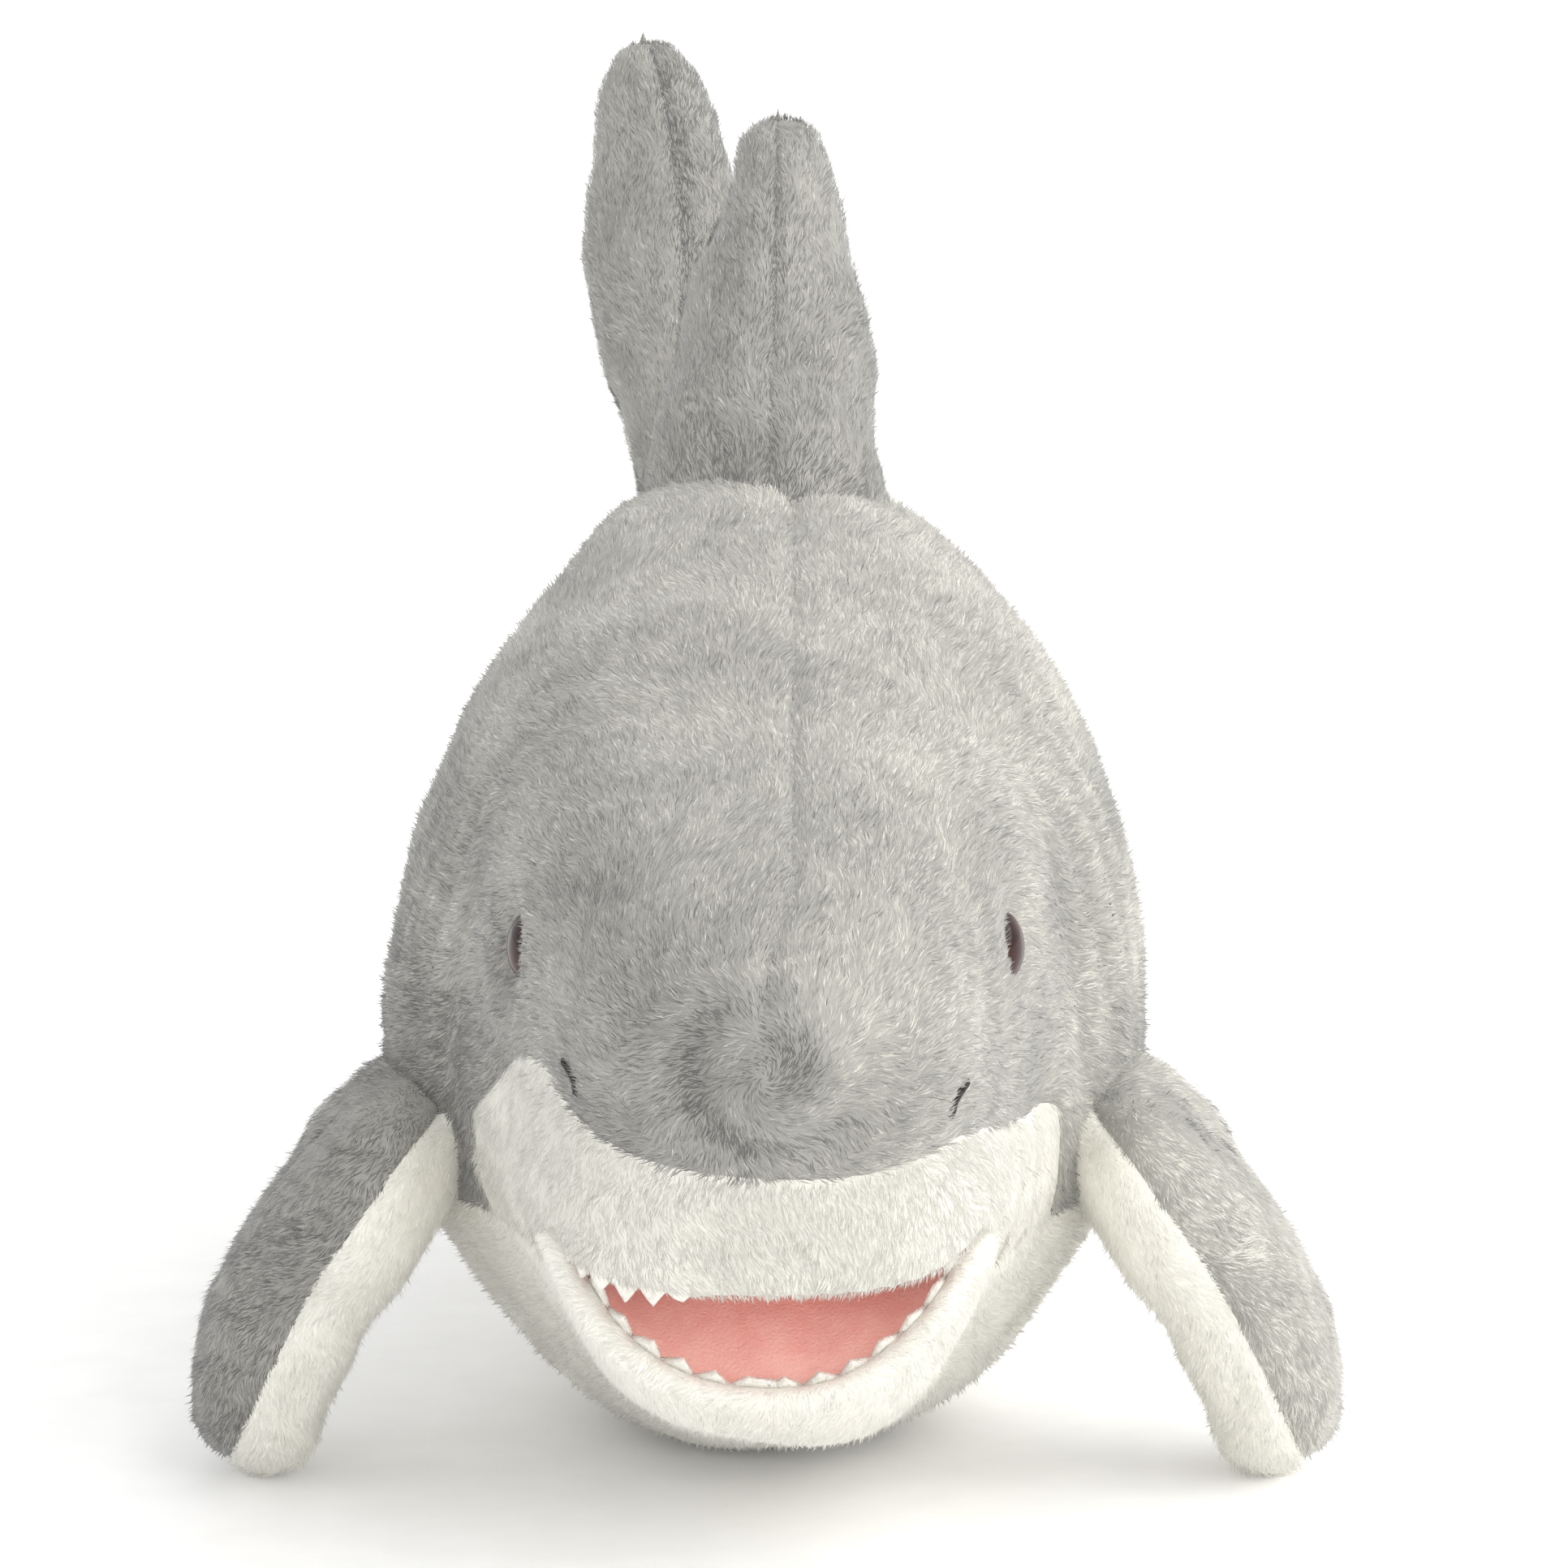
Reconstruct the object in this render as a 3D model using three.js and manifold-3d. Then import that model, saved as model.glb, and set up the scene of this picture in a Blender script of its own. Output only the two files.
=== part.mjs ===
// A stuffed plush shark, sewn from short-pile panels over fibre filling.
// Millimetres, +Z up, nose towards -Y. The shark rests on its flattened belly at z = 0.
//
// Stations are given as s, the distance behind the nose tip. The whole shark is
// modelled with the nose at s = 0 and moved by half its length at the end.

import * as THREE from 'three';
import { ConvexGeometry } from 'three/addons/geometries/ConvexGeometry.js';
import { mergeVertices } from 'three/addons/utils/BufferGeometryUtils.js';
import Module from 'manifold-3d';

const wasm = await Module();
wasm.setup();

// ---------------------------------------------------------------- driving dimensions

const noseToTail = 384.6;
const plush = 3; // backing cloth with its pile pressed flat
const gap = 0.3; // between two pieces that touch
const felt = 1; // tooth strips and mouth linings
const thread = 0.6; // embroidery standing proud of the pile
const farOut = 400; // reaches past the shark on every side
const sliver = 0.04; // booleans leave edges shorter than this, which are closed up

const tailBend = { start: 190, full: 372, sideways: -24 };

const jaw = { s: 60, z: 51, radius: 31 };
const throat = { openFrom: 4, closedFrom: 16 }; // degrees below the hinge where the jaw's round back starts
const lining = { overlap: 2, mouthHeight: 40 }; // the palate runs this far past the jaw hinge

// The lips seen from the side: middle of the mouth, mouth corner, and back to the jaw hinge.
const upperLip = [{ s: 24, z: 57.3 }, { s: 42, z: 62 }, { s: 48, z: 60.5 }, { s: jaw.s, z: 53.5 }];
const lowerLip = [
  { s: 33, z: 33.8 }, { s: 35, z: 42 }, { s: 38.5, z: 50 }, { s: 43, z: 57 },
  { s: 48, z: 58.3 }, { s: jaw.s, z: 51 },
];
const tongueLine = [{ s: 33, z: 33.8 }, { s: jaw.s, z: 49.5 }];

const tailHinge = { s: 262, radius: 35 };
const caudalHinge = { s: 340, radius: 14, low: 58, high: 116 };
const caudalStuffed = { low: 42, high: 212 }; // the tips of the tail fin are left empty
const dorsalHinge = { s: 182, z: 155, swing: 15, lean: 1.5, reach: 36 };
const pectoral = { x: 60, s: 108, z: 60, droop: 59, raises: 30, lowers: 10, reach: 42 };

const eye = { x: 40.4, s: 62, z: 105, radius: 6, dome: 2.4, sunk: 1.4 };
const eyeStem = { radius: 2, washer: 6.5, washerDepth: 5, washerThickness: 1.5, length: 10 };
const nostril = { x: 32, s: 22, z: 90.5, length: 7.5, width: 2.2, slant: 50, reach: 24 };
const gill = { firstS: 90, pitch: 9, count: 4, low: 82, high: 112, width: 1.2, lean: 8, x: 70, reach: 60 };
const teeth = { pitch: 5, height: 3.4, band: 1.4, upperBack: 36, lowerBack: 36.5 };
const closingSeam = { from: 276, to: 306, width: 1.6, top: 75 };

// Facets of each shape, around it and along it.
const bodyFacets = { around: 22, along: 22 };
const caudalFacets = { around: 10, along: 12 };
const finFacets = { around: 10, along: 8 };
const sideFacets = 8;
const roundFacets = { fitting: 12, cylinder: 24, lipEdge: 16, notch: 6 };

// Rings of the body from nose to tail: half is the half width, mid the height of the
// widest line, full how square the underside is (2 is an ellipse).
const bodyRings = [
  { s: 0, half: 0, mid: 98, top: 98, low: 98, full: 1.8 },
  { s: 3, half: 16, mid: 98, top: 109, low: 87, full: 1.8 },
  { s: 10, half: 25, mid: 96, top: 116, low: 76, full: 1.8 },
  { s: 24, half: 34, mid: 94, top: 124, low: 53, full: 2 },
  { s: 34, half: 37, mid: 93, top: 128, low: 33, full: 2.2 },
  { s: 48, half: 41, mid: 92, top: 133, low: 23.5, full: 2.3 },
  { s: 66, half: 46, mid: 90, top: 139, low: 19.5, full: 2.2 },
  { s: 88, half: 54, mid: 86, top: 146, low: 12, full: 2 },
  { s: 110, half: 64, mid: 81, top: 153, low: 5, full: 2 },
  { s: 132, half: 68, mid: 79, top: 159, low: 0, full: 2 },
  { s: 165, half: 64, mid: 80, top: 165, low: -3, full: 2 },
  { s: 205, half: 53, mid: 81, top: 160, low: 1, full: 2 },
  { s: 250, half: 36, mid: 82, top: 138, low: 20, full: 2 },
  { s: 300, half: 22, mid: 84, top: 117, low: 48, full: 2 },
  { s: 342, half: 14, mid: 87, top: 105, low: 67, full: 2 },
  { s: 354, half: 0, mid: 87, top: 87, low: 87, full: 2 },
];

// Rings of the fins: chord and thick are half sizes, s and z the centre of the ring.
const dorsalRings = [
  { s: 181, z: 133, chord: 0, thick: 0 },
  { s: 181, z: 141, chord: 24, thick: 16 },
  { s: 182, z: 155, chord: 32, thick: 24.5 },
  { s: 189, z: 176, chord: 27, thick: 22.5 },
  { s: 200, z: 197, chord: 20, thick: 18.5 },
  { s: 212, z: 215, chord: 13, thick: 13 },
  { s: 218, z: 224, chord: 8, thick: 8.5 },
  { s: 221, z: 228, chord: 0, thick: 0 },
];
const caudalRings = [
  { s: 382, z: 230, chord: 0, thick: 0 },
  { s: 378, z: 224, chord: 8, thick: 10 },
  { s: 369, z: 203, chord: 15, thick: 17 },
  { s: 358, z: 168, chord: 20, thick: 18 },
  { s: 349, z: 128, chord: 22, thick: 12.5 },
  { s: 346, z: 95, chord: 23, thick: 11.5 },
  { s: 350, z: 68, chord: 18, thick: 12 },
  { s: 359, z: 45, chord: 12, thick: 9 },
  { s: 366, z: 30, chord: 6, thick: 5 },
  { s: 368, z: 25, chord: 0, thick: 0 },
];

// The pectoral fin in its own frame: span runs from the root outwards, sweep backwards,
// and bow is how far the fin arches up.
const pectoralRings = [
  { span: -14, sweep: 0, bow: 0, chord: 0, thick: 0 },
  { span: -10, sweep: 0, bow: 1, chord: 17, thick: 10 },
  { span: 0, sweep: 0, bow: 3, chord: 26, thick: 15 },
  { span: 20, sweep: 0, bow: 4, chord: 26, thick: 17 },
  { span: 42, sweep: 1, bow: 3, chord: 22, thick: 16.5 },
  { span: 58, sweep: 1, bow: 1, chord: 16, thick: 13 },
  { span: 65, sweep: 2, bow: 0, chord: 9, thick: 8 },
  { span: 68, sweep: 2, bow: 0, chord: 0, thick: 0 },
];

// ---------------------------------------------------------------- materials

function cloth(color, roughness = 0.95) {
  return new THREE.MeshStandardMaterial({ color, roughness, metalness: 0 });
}

const greyPlush = cloth(0x9c9b96);
const whitePlush = cloth(0xe9e6db);
const fibre = cloth(0xf4f3ef);
const pinkCloth = cloth(0xe88f86);
const whiteFelt = cloth(0xf3f1ea);
const darkThread = cloth(0x2f2d2c, 0.8);
const greyThread = cloth(0x85847f, 0.8);
const whiteThread = cloth(0xe4e1d6, 0.8);
const eyePlastic = cloth(0x2a0f0b, 0.12);
const washerPlastic = cloth(0xe8e6e0, 0.5);

// ---------------------------------------------------------------- solids and booleans

function toSolid(geometry) {
  const bare = new THREE.BufferGeometry();
  bare.setAttribute('position', geometry.getAttribute('position').clone());
  if (geometry.index) {
    bare.setIndex(geometry.index.clone());
  }
  const welded = mergeVertices(bare, 1e-4);
  return new wasm.Manifold(new wasm.Mesh({
    numProp: 3,
    vertProperties: new Float32Array(welded.getAttribute('position').array),
    triVerts: new Uint32Array(welded.index.array),
  }));
}

function toGeometry(solid) {
  const mesh = solid.getMesh();
  const geometry = new THREE.BufferGeometry();
  geometry.setAttribute('position', new THREE.BufferAttribute(new Float32Array(mesh.vertProperties), 3));
  geometry.setIndex(new THREE.BufferAttribute(new Uint32Array(mesh.triVerts), 1));
  return geometry;
}

function largestBody(solid) {
  return solid.decompose().reduce((best, body) => (body.volume() > best.volume() ? body : best));
}

function union(solids) {
  return solids.reduce((whole, solid) => whole.add(solid));
}

function box(minX, maxX, minS, maxS, minZ, maxZ) {
  const geometry = new THREE.BoxGeometry(maxX - minX, maxS - minS, maxZ - minZ);
  geometry.translate((minX + maxX) / 2, (minS + maxS) / 2, (minZ + maxZ) / 2);
  return toSolid(geometry);
}

// The stuffed body curves towards the shark's right behind the dorsal fin.
function sidewaysAt(s) {
  const behind = Math.max(0, s - tailBend.start) / (tailBend.full - tailBend.start);
  return tailBend.sideways * behind * behind;
}

function bent(geometry) {
  const position = geometry.getAttribute('position');
  for (let i = 0; i < position.count; i += 1) {
    position.setX(i, position.getX(i) + sidewaysAt(position.getY(i)));
  }
  return geometry;
}

// A box that follows the bend of the body.
function bentBox(minX, maxX, minS, maxS, minZ, maxZ) {
  const pieces = Math.ceil((maxS - minS) / 20);
  const geometry = new THREE.BoxGeometry(maxX - minX, maxS - minS, maxZ - minZ, 1, pieces, 1);
  geometry.translate((minX + maxX) / 2, (minS + maxS) / 2, (minZ + maxZ) / 2);
  return toSolid(bent(geometry));
}

// A side-view outline in (s, z), pulled across the shark from one side to the other.
function sideCutter(outline) {
  const across = { depth: 2 * farOut, bevelEnabled: false, curveSegments: sideFacets };
  const geometry = new THREE.ExtrudeGeometry(outline, across);
  geometry.rotateX(Math.PI / 2);
  geometry.rotateZ(Math.PI / 2);
  geometry.translate(-farOut, 0, 0);
  return toSolid(geometry);
}

function uprightCylinder(s, radius, low, high) {
  const geometry = new THREE.CylinderGeometry(radius, radius, high - low, roundFacets.cylinder);
  geometry.rotateX(Math.PI / 2);
  geometry.translate(sidewaysAt(s), s, (low + high) / 2);
  return toSolid(geometry);
}

// ---------------------------------------------------------------- soft shapes from rings

// Catmull-Rom through the rings, value by value, at a fractional ring number.
function ringAt(rings, place) {
  const last = rings.length - 1;
  const i = Math.min(Math.floor(place), last - 1);
  const t = place - i;
  const near = (n) => rings[Math.min(Math.max(n, 0), last)];
  const ring = {};
  for (const key of Object.keys(rings[0])) {
    const [a, b, c, d] = [near(i - 1)[key], near(i)[key], near(i + 1)[key], near(i + 2)[key]];
    const slopeB = (c - a) / 2;
    const slopeC = (d - b) / 2;
    const rise = c - b;
    ring[key] = b + t * (slopeB + t * (3 * rise - 2 * slopeB - slopeC + t * (slopeB + slopeC - 2 * rise)));
  }
  return ring;
}

// A closed skin through all rings. pointOn places angle 0..2*PI on one ring.
function softShape(rings, { around, along }, pointOn) {
  const geometry = new THREE.SphereGeometry(1, around, along);
  const position = geometry.getAttribute('position');
  const uv = geometry.getAttribute('uv');
  for (let i = 0; i < position.count; i += 1) {
    const ring = ringAt(rings, (1 - uv.getY(i)) * (rings.length - 1));
    const turn = Math.round(uv.getX(i) * around) / around;
    const atPole = uv.getY(i) === 0 || uv.getY(i) === 1;
    const point = pointOn(ring, atPole ? 0 : turn * 2 * Math.PI);
    position.setXYZ(i, point.x, point.y, point.z);
  }
  return rightSideOut(geometry);
}

function rightSideOut(geometry) {
  const welded = mergeVertices(withPositionOnly(geometry), 1e-3);
  const a = new THREE.Vector3();
  const b = new THREE.Vector3();
  const c = new THREE.Vector3();
  const position = welded.getAttribute('position');
  const index = welded.index;
  let volume = 0;
  for (let i = 0; i < index.count; i += 3) {
    a.fromBufferAttribute(position, index.getX(i));
    b.fromBufferAttribute(position, index.getX(i + 1));
    c.fromBufferAttribute(position, index.getX(i + 2));
    volume += a.dot(b.cross(c));
  }
  if (volume < 0) {
    flipFaces(welded);
  }
  return welded;
}

function withPositionOnly(geometry) {
  const bare = new THREE.BufferGeometry();
  bare.setAttribute('position', geometry.getAttribute('position').clone());
  bare.setIndex(geometry.index.clone());
  return bare;
}

function flipFaces(geometry) {
  const index = geometry.index;
  for (let i = 0; i < index.count; i += 3) {
    const second = index.getX(i + 1);
    index.setX(i + 1, index.getX(i + 2));
    index.setX(i + 2, second);
  }
}

// The same skin moved along its normals: positive is outwards.
function offset(geometry, distance) {
  const moved = geometry.clone();
  moved.computeVertexNormals();
  const position = moved.getAttribute('position');
  const normal = moved.getAttribute('normal');
  for (let i = 0; i < position.count; i += 1) {
    position.setXYZ(
      i,
      position.getX(i) + normal.getX(i) * distance,
      position.getY(i) + normal.getY(i) * distance,
      position.getZ(i) + normal.getZ(i) * distance,
    );
  }
  return moved;
}

function mirrored(geometry) {
  const copy = geometry.clone();
  copy.scale(-1, 1, 1);
  flipFaces(copy);
  return copy;
}

function swungAbout(geometry, centre, axis, degrees) {
  const copy = geometry.clone();
  copy.translate(-centre.x, -centre.y, -centre.z);
  copy.applyMatrix4(new THREE.Matrix4().makeRotationAxis(axis, THREE.MathUtils.degToRad(degrees)));
  copy.translate(centre.x, centre.y, centre.z);
  return copy;
}

// The room that a fin's root swings through, so the body keeps clear of it.
function sweptRoom(geometry, centre, from, to, reach) {
  const room = offset(geometry, 2 * gap);
  const points = [];
  for (const degrees of [from, from / 2, 0, to / 2, to]) {
    const position = swungAbout(room, centre, alongShark, degrees).getAttribute('position');
    for (let i = 0; i < position.count; i += 1) {
      const point = new THREE.Vector3().fromBufferAttribute(position, i);
      if (Math.hypot(point.x - centre.x, point.z - centre.z) < reach) {
        points.push(point);
      }
    }
  }
  return toSolid(indexed(new ConvexGeometry(points)));
}

function indexed(geometry) {
  const bare = new THREE.BufferGeometry();
  bare.setAttribute('position', geometry.getAttribute('position').clone());
  return mergeVertices(bare, 1e-3);
}

function bodyPoint(ring, angle) {
  const across = Math.cos(angle);
  const up = Math.sin(angle);
  const power = up < 0 ? 2 / ring.full : 1;
  const x = ring.half * Math.sign(across) * Math.abs(across) ** power;
  const height = up < 0 ? ring.mid - ring.low : ring.top - ring.mid;
  return new THREE.Vector3(x, ring.s, ring.mid + height * Math.sign(up) * Math.abs(up) ** power);
}

// A fin ring is a lens: round in front, thinner towards the back edge.
function lensPoint(ring, angle) {
  const back = Math.cos(angle);
  const slim = 1 - 0.25 * (back + 1) / 2;
  return new THREE.Vector3(ring.thick * Math.sin(angle) * slim, ring.s + ring.chord * back, ring.z);
}

function pectoralPoint(ring, angle) {
  const point = lensPoint({ s: ring.sweep, z: ring.span, chord: ring.chord, thick: ring.thick }, angle);
  point.x -= ring.bow;
  return point;
}

// From the fin's own frame to its place on the shark's left.
function onPectoral(geometry) {
  const placed = geometry.clone();
  placed.rotateY(THREE.MathUtils.degToRad(90 + pectoral.droop));
  placed.translate(pectoral.x, pectoral.s, pectoral.z);
  return placed;
}

// ---------------------------------------------------------------- the shapes

const alongShark = new THREE.Vector3(0, 1, 0);

const body = bent(softShape(bodyRings, bodyFacets, bodyPoint));
const caudal = bent(softShape(caudalRings, caudalFacets, lensPoint));

const pectoralLeft = onPectoral(softShape(pectoralRings, finFacets, pectoralPoint));
const pectoralRight = mirrored(pectoralLeft);

const dorsalRoot = new THREE.Vector3(0, dorsalHinge.s, dorsalHinge.z);
const uprightDorsal = softShape(dorsalRings, finFacets, lensPoint);
const dorsal = swungAbout(uprightDorsal, dorsalRoot, alongShark, dorsalHinge.lean);
const leftRoot = new THREE.Vector3(pectoral.x, pectoral.s, pectoral.z);
const rightRoot = new THREE.Vector3(-pectoral.x, pectoral.s, pectoral.z);

// ---------------------------------------------------------------- side-view regions

const frontS = -10;

// Height of a line of points at s, level in front of its first point.
function heightAt(line, s) {
  const next = line.findIndex((point) => point.s > s);
  if (next === 0) {
    return line[0].z;
  }
  const to = line.at(next);
  const from = next < 0 ? line.at(-2) : line[next - 1];
  return from.z + ((to.z - from.z) * (s - from.s)) / (to.s - from.s);
}

// White underside: muzzle and cheek in front, belly behind, fading out under the tail.
function whiteRegion(raise) {
  const outline = new THREE.Shape();
  outline.moveTo(frontS, 78 + raise);
  outline.splineThru([
    new THREE.Vector2(8, 79 + raise),
    new THREE.Vector2(26, 85 + raise),
    new THREE.Vector2(56, 82 + raise),
    new THREE.Vector2(84, 72 + raise),
  ]);
  outline.lineTo(92, 51 + raise);
  outline.splineThru([
    new THREE.Vector2(150, 46 + raise),
    new THREE.Vector2(240, 52 + raise),
    new THREE.Vector2(farOut, 71 + raise),
  ]);
  outline.lineTo(farOut, -farOut);
  outline.lineTo(frontS, -farOut);
  outline.closePath();
  return sideCutter(outline);
}

// Below a lip line, from in front of the nose back to the jaw hinge, then round the throat.
function jawRegion(lip, grow, backAngle) {
  const back = THREE.MathUtils.degToRad(backAngle);
  const radius = jaw.radius + grow;
  const outline = new THREE.Shape();
  outline.moveTo(frontS, lip[0].z + grow);
  lip.forEach((point) => outline.lineTo(point.s, point.z + grow));
  outline.lineTo(jaw.s + radius * Math.cos(back), jaw.z - radius * Math.sin(back));
  outline.absarc(jaw.s, jaw.z, radius, -back, -Math.PI / 2, true);
  outline.lineTo(frontS, jaw.z - radius);
  outline.closePath();
  return sideCutter(outline);
}

// A layer of the given depth along a line, above it or below it.
function layerAlong(line, from, to, backS) {
  const places = [frontS, ...line.map((point) => point.s).filter((s) => s < backS), backS];
  const outline = new THREE.Shape();
  outline.moveTo(frontS, line[0].z + from);
  places.slice(1).forEach((s) => outline.lineTo(s, heightAt(line, s) + from));
  places.reverse().forEach((s) => outline.lineTo(s, heightAt(line, s) + to));
  outline.closePath();
  return sideCutter(outline);
}

// Everything behind an upright hinge, with a round front that turns inside a round socket.
function behindHinge(hinge, grow) {
  const back = box(-farOut, farOut, hinge.s, 2 * farOut, -farOut, farOut);
  return back.add(uprightCylinder(hinge.s, hinge.radius + grow, -farOut, farOut));
}

// The shark looks along -Y, so its own left is +X.
const leftHalf = bentBox(gap / 2, farOut, -farOut, farOut, -farOut, farOut);
const rightHalf = bentBox(-farOut, -gap / 2, -farOut, farOut, -farOut, farOut);
const abovePlane = (z) => box(-farOut, farOut, -farOut, 2 * farOut, z, farOut);

const bodyOuter = toSolid(body).intersect(abovePlane(0));
const bodyInner = toSolid(offset(body, -plush)).intersect(abovePlane(plush));
const fillingVolume = toSolid(offset(body, -plush - gap)).intersect(abovePlane(plush + gap));
const bodySkin = bodyOuter.subtract(bodyInner);

const mouthRoom = jawRegion(upperLip, 0, throat.openFrom);
const throatRoom = jawRegion(lowerLip, 2 * gap, throat.openFrom).add(mouthRoom);
const jawShape = jawRegion(lowerLip, 0, throat.closedFrom);

const tailShape = behindHinge(tailHinge, 0);
const tailRoom = behindHinge(tailHinge, gap);

const caudalBand = box(-farOut, farOut, -farOut, caudalHinge.s, caudalHinge.low, caudalHinge.high);
const caudalPlug = uprightCylinder(caudalHinge.s, caudalHinge.radius, -farOut, farOut);
const caudalCut = caudalBand.subtract(caudalPlug);
const caudalRoom = behindHinge(caudalHinge, gap);

// A turn about +Y, towards the tail, lowers the left fin and lifts the right one.
const finRoom = union([
  sweptRoom(dorsal, dorsalRoot, -dorsalHinge.swing, dorsalHinge.swing, dorsalHinge.reach),
  sweptRoom(pectoralLeft, leftRoot, -pectoral.raises, pectoral.lowers, pectoral.reach),
  sweptRoom(pectoralRight, rightRoot, -pectoral.lowers, pectoral.raises, pectoral.reach),
]);

// ---------------------------------------------------------------- eyes

// Frame of a small fitting on the skin: local +Z points out of the shark.
function outwardFrame(side, place, outward) {
  const z = outward.clone().setX(side * outward.x).normalize();
  const turn = new THREE.Quaternion().setFromUnitVectors(new THREE.Vector3(0, 0, 1), z);
  const origin = new THREE.Vector3(side * place.x, place.s, place.z);
  return new THREE.Matrix4().compose(origin, turn, new THREE.Vector3(1, 1, 1));
}

const eyeOutward = new THREE.Vector3(0.93, -0.34, 0.12);

function lathed(points) {
  const profile = points.map(([r, z]) => new THREE.Vector2(r, z));
  const geometry = new THREE.LatheGeometry(profile, roundFacets.fitting);
  geometry.rotateX(Math.PI / 2);
  return geometry;
}

function eyeWithStem() {
  const { radius: stem, length } = eyeStem;
  const profile = [[0, -length], [stem, -length], [stem, -eye.sunk], [eye.radius, -eye.sunk]];
  const steps = 5;
  for (let i = 1; i <= steps; i += 1) {
    const turn = (i / steps) * (Math.PI / 2);
    profile.push([eye.radius * Math.cos(turn), -eye.sunk + (eye.dome + eye.sunk) * Math.sin(turn)]);
  }
  profile[profile.length - 1][0] = 0;
  return lathed(profile);
}

function eyeWasher() {
  const near = -eyeStem.washerDepth;
  const far = near - eyeStem.washerThickness;
  const bore = eyeStem.radius + gap;
  return lathed([[bore, far], [eyeStem.washer, far], [eyeStem.washer, near], [bore, near], [bore, far]]);
}

// Room for the sunk dome, for the stem, and for the washer inside the filling.
function eyeRoom() {
  const floor = -eyeStem.length - 1;
  const seat = eye.radius + gap;
  const stem = eyeStem.radius + gap;
  const washer = eyeStem.washer + 2 * gap;
  const shoulder = 2 * gap - eyeStem.washerDepth;
  return lathed([
    [0, floor], [washer, floor], [washer, shoulder], [stem, shoulder],
    [stem, -eye.sunk - gap], [seat, -eye.sunk - gap], [seat, 3 * eye.radius], [0, 3 * eye.radius],
  ]);
}

// ---------------------------------------------------------------- the list of pieces

const shark = new THREE.Group();
shark.position.y = -noseToTail / 2;

function addPiece(name, solid, material) {
  const geometry = toGeometry(largestBody(solid.simplify(sliver)));
  geometry.computeVertexNormals();
  const mesh = new THREE.Mesh(geometry, material);
  mesh.name = name;
  shark.add(mesh);
}

// ---------------------------------------------------------------- body, head and jaw

const white = whiteRegion(0);
const notGrey = whiteRegion(gap);
const muzzleZone = box(-farOut, farOut, -farOut, jaw.s + jaw.radius, jaw.z + gap, farOut);
const bellyZone = box(-farOut, farOut, -farOut, jaw.s + jaw.radius + gap, jaw.z, farOut);

const eyeRooms = [-1, 1].map((side) => {
  const room = eyeRoom();
  room.applyMatrix4(outwardFrame(side, eye, eyeOutward));
  return toSolid(room);
});
const clearOfJoints = (solid) => solid.subtract(throatRoom).subtract(tailRoom).subtract(finRoom);

const headSkin = clearOfJoints(bodySkin).subtract(union(eyeRooms));
const backSkin = headSkin.subtract(notGrey);
addPiece('back_panel_left', backSkin.intersect(leftHalf), greyPlush);
addPiece('back_panel_right', backSkin.intersect(rightHalf), greyPlush);
addPiece('muzzle_panel', headSkin.intersect(white).intersect(muzzleZone), whitePlush);
addPiece('belly_panel', headSkin.intersect(white).subtract(bellyZone), whitePlush);

const palateBack = jaw.s + lining.overlap;
const palateLayer = layerAlong(upperLip, 0, felt, palateBack);
const palateRoom = layerAlong(upperLip, -lining.mouthHeight, felt + gap, palateBack + gap);
const bodyFilling = clearOfJoints(fillingVolume).subtract(palateRoom).subtract(union(eyeRooms));
addPiece('body_filling', bodyFilling, fibre);
addPiece('palate_lining', fillingVolume.intersect(palateLayer), pinkCloth);

addPiece('lower_jaw_panel', bodySkin.intersect(jawShape), whitePlush);
const tongueBack = jaw.s - lining.overlap;
const tongueLayer = layerAlong(tongueLine, -felt, 0, tongueBack);
const tongueRoom = layerAlong(tongueLine, -felt - gap, lining.mouthHeight, tongueBack + gap);
addPiece('jaw_filling', fillingVolume.intersect(jawShape).subtract(tongueRoom), fibre);
addPiece('tongue_lining', fillingVolume.intersect(tongueLayer), pinkCloth);

// ---------------------------------------------------------------- teeth

function ringAtS(s) {
  let low = 0;
  let high = bodyRings.length - 1;
  while (high - low > 1e-4) {
    const middle = (low + high) / 2;
    if (ringAt(bodyRings, middle).s < s) {
      low = middle;
    } else {
      high = middle;
    }
  }
  return ringAt(bodyRings, low);
}

// Half width of the body at a lip line, or 0 in front of the place where the lip starts.
function lipHalfWidth(lip, s) {
  const ring = ringAtS(s);
  const drop = (ring.mid - heightAt(lip, s)) / (ring.mid - ring.low);
  return drop < 1 ? ring.half * (1 - drop ** ring.full) ** (1 / ring.full) : 0;
}

// The lip line on the body skin seen from above, from the right end round the front.
function lipCurve(lip, backS) {
  const steps = 6;
  let front = lip[0].s - 10;
  while (lipHalfWidth(lip, front) === 0) {
    front += 0.1;
  }
  const right = [];
  for (let i = steps; i > 0; i -= 1) {
    const s = front + (backS - front) * (i / steps) ** 2;
    right.push(new THREE.Vector3(lipHalfWidth(lip, s), s, 0));
  }
  const left = right.map((point) => new THREE.Vector3(-point.x, point.y, 0)).reverse();
  return new THREE.CatmullRomCurve3([...right, new THREE.Vector3(0, front, 0), ...left]);
}

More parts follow.
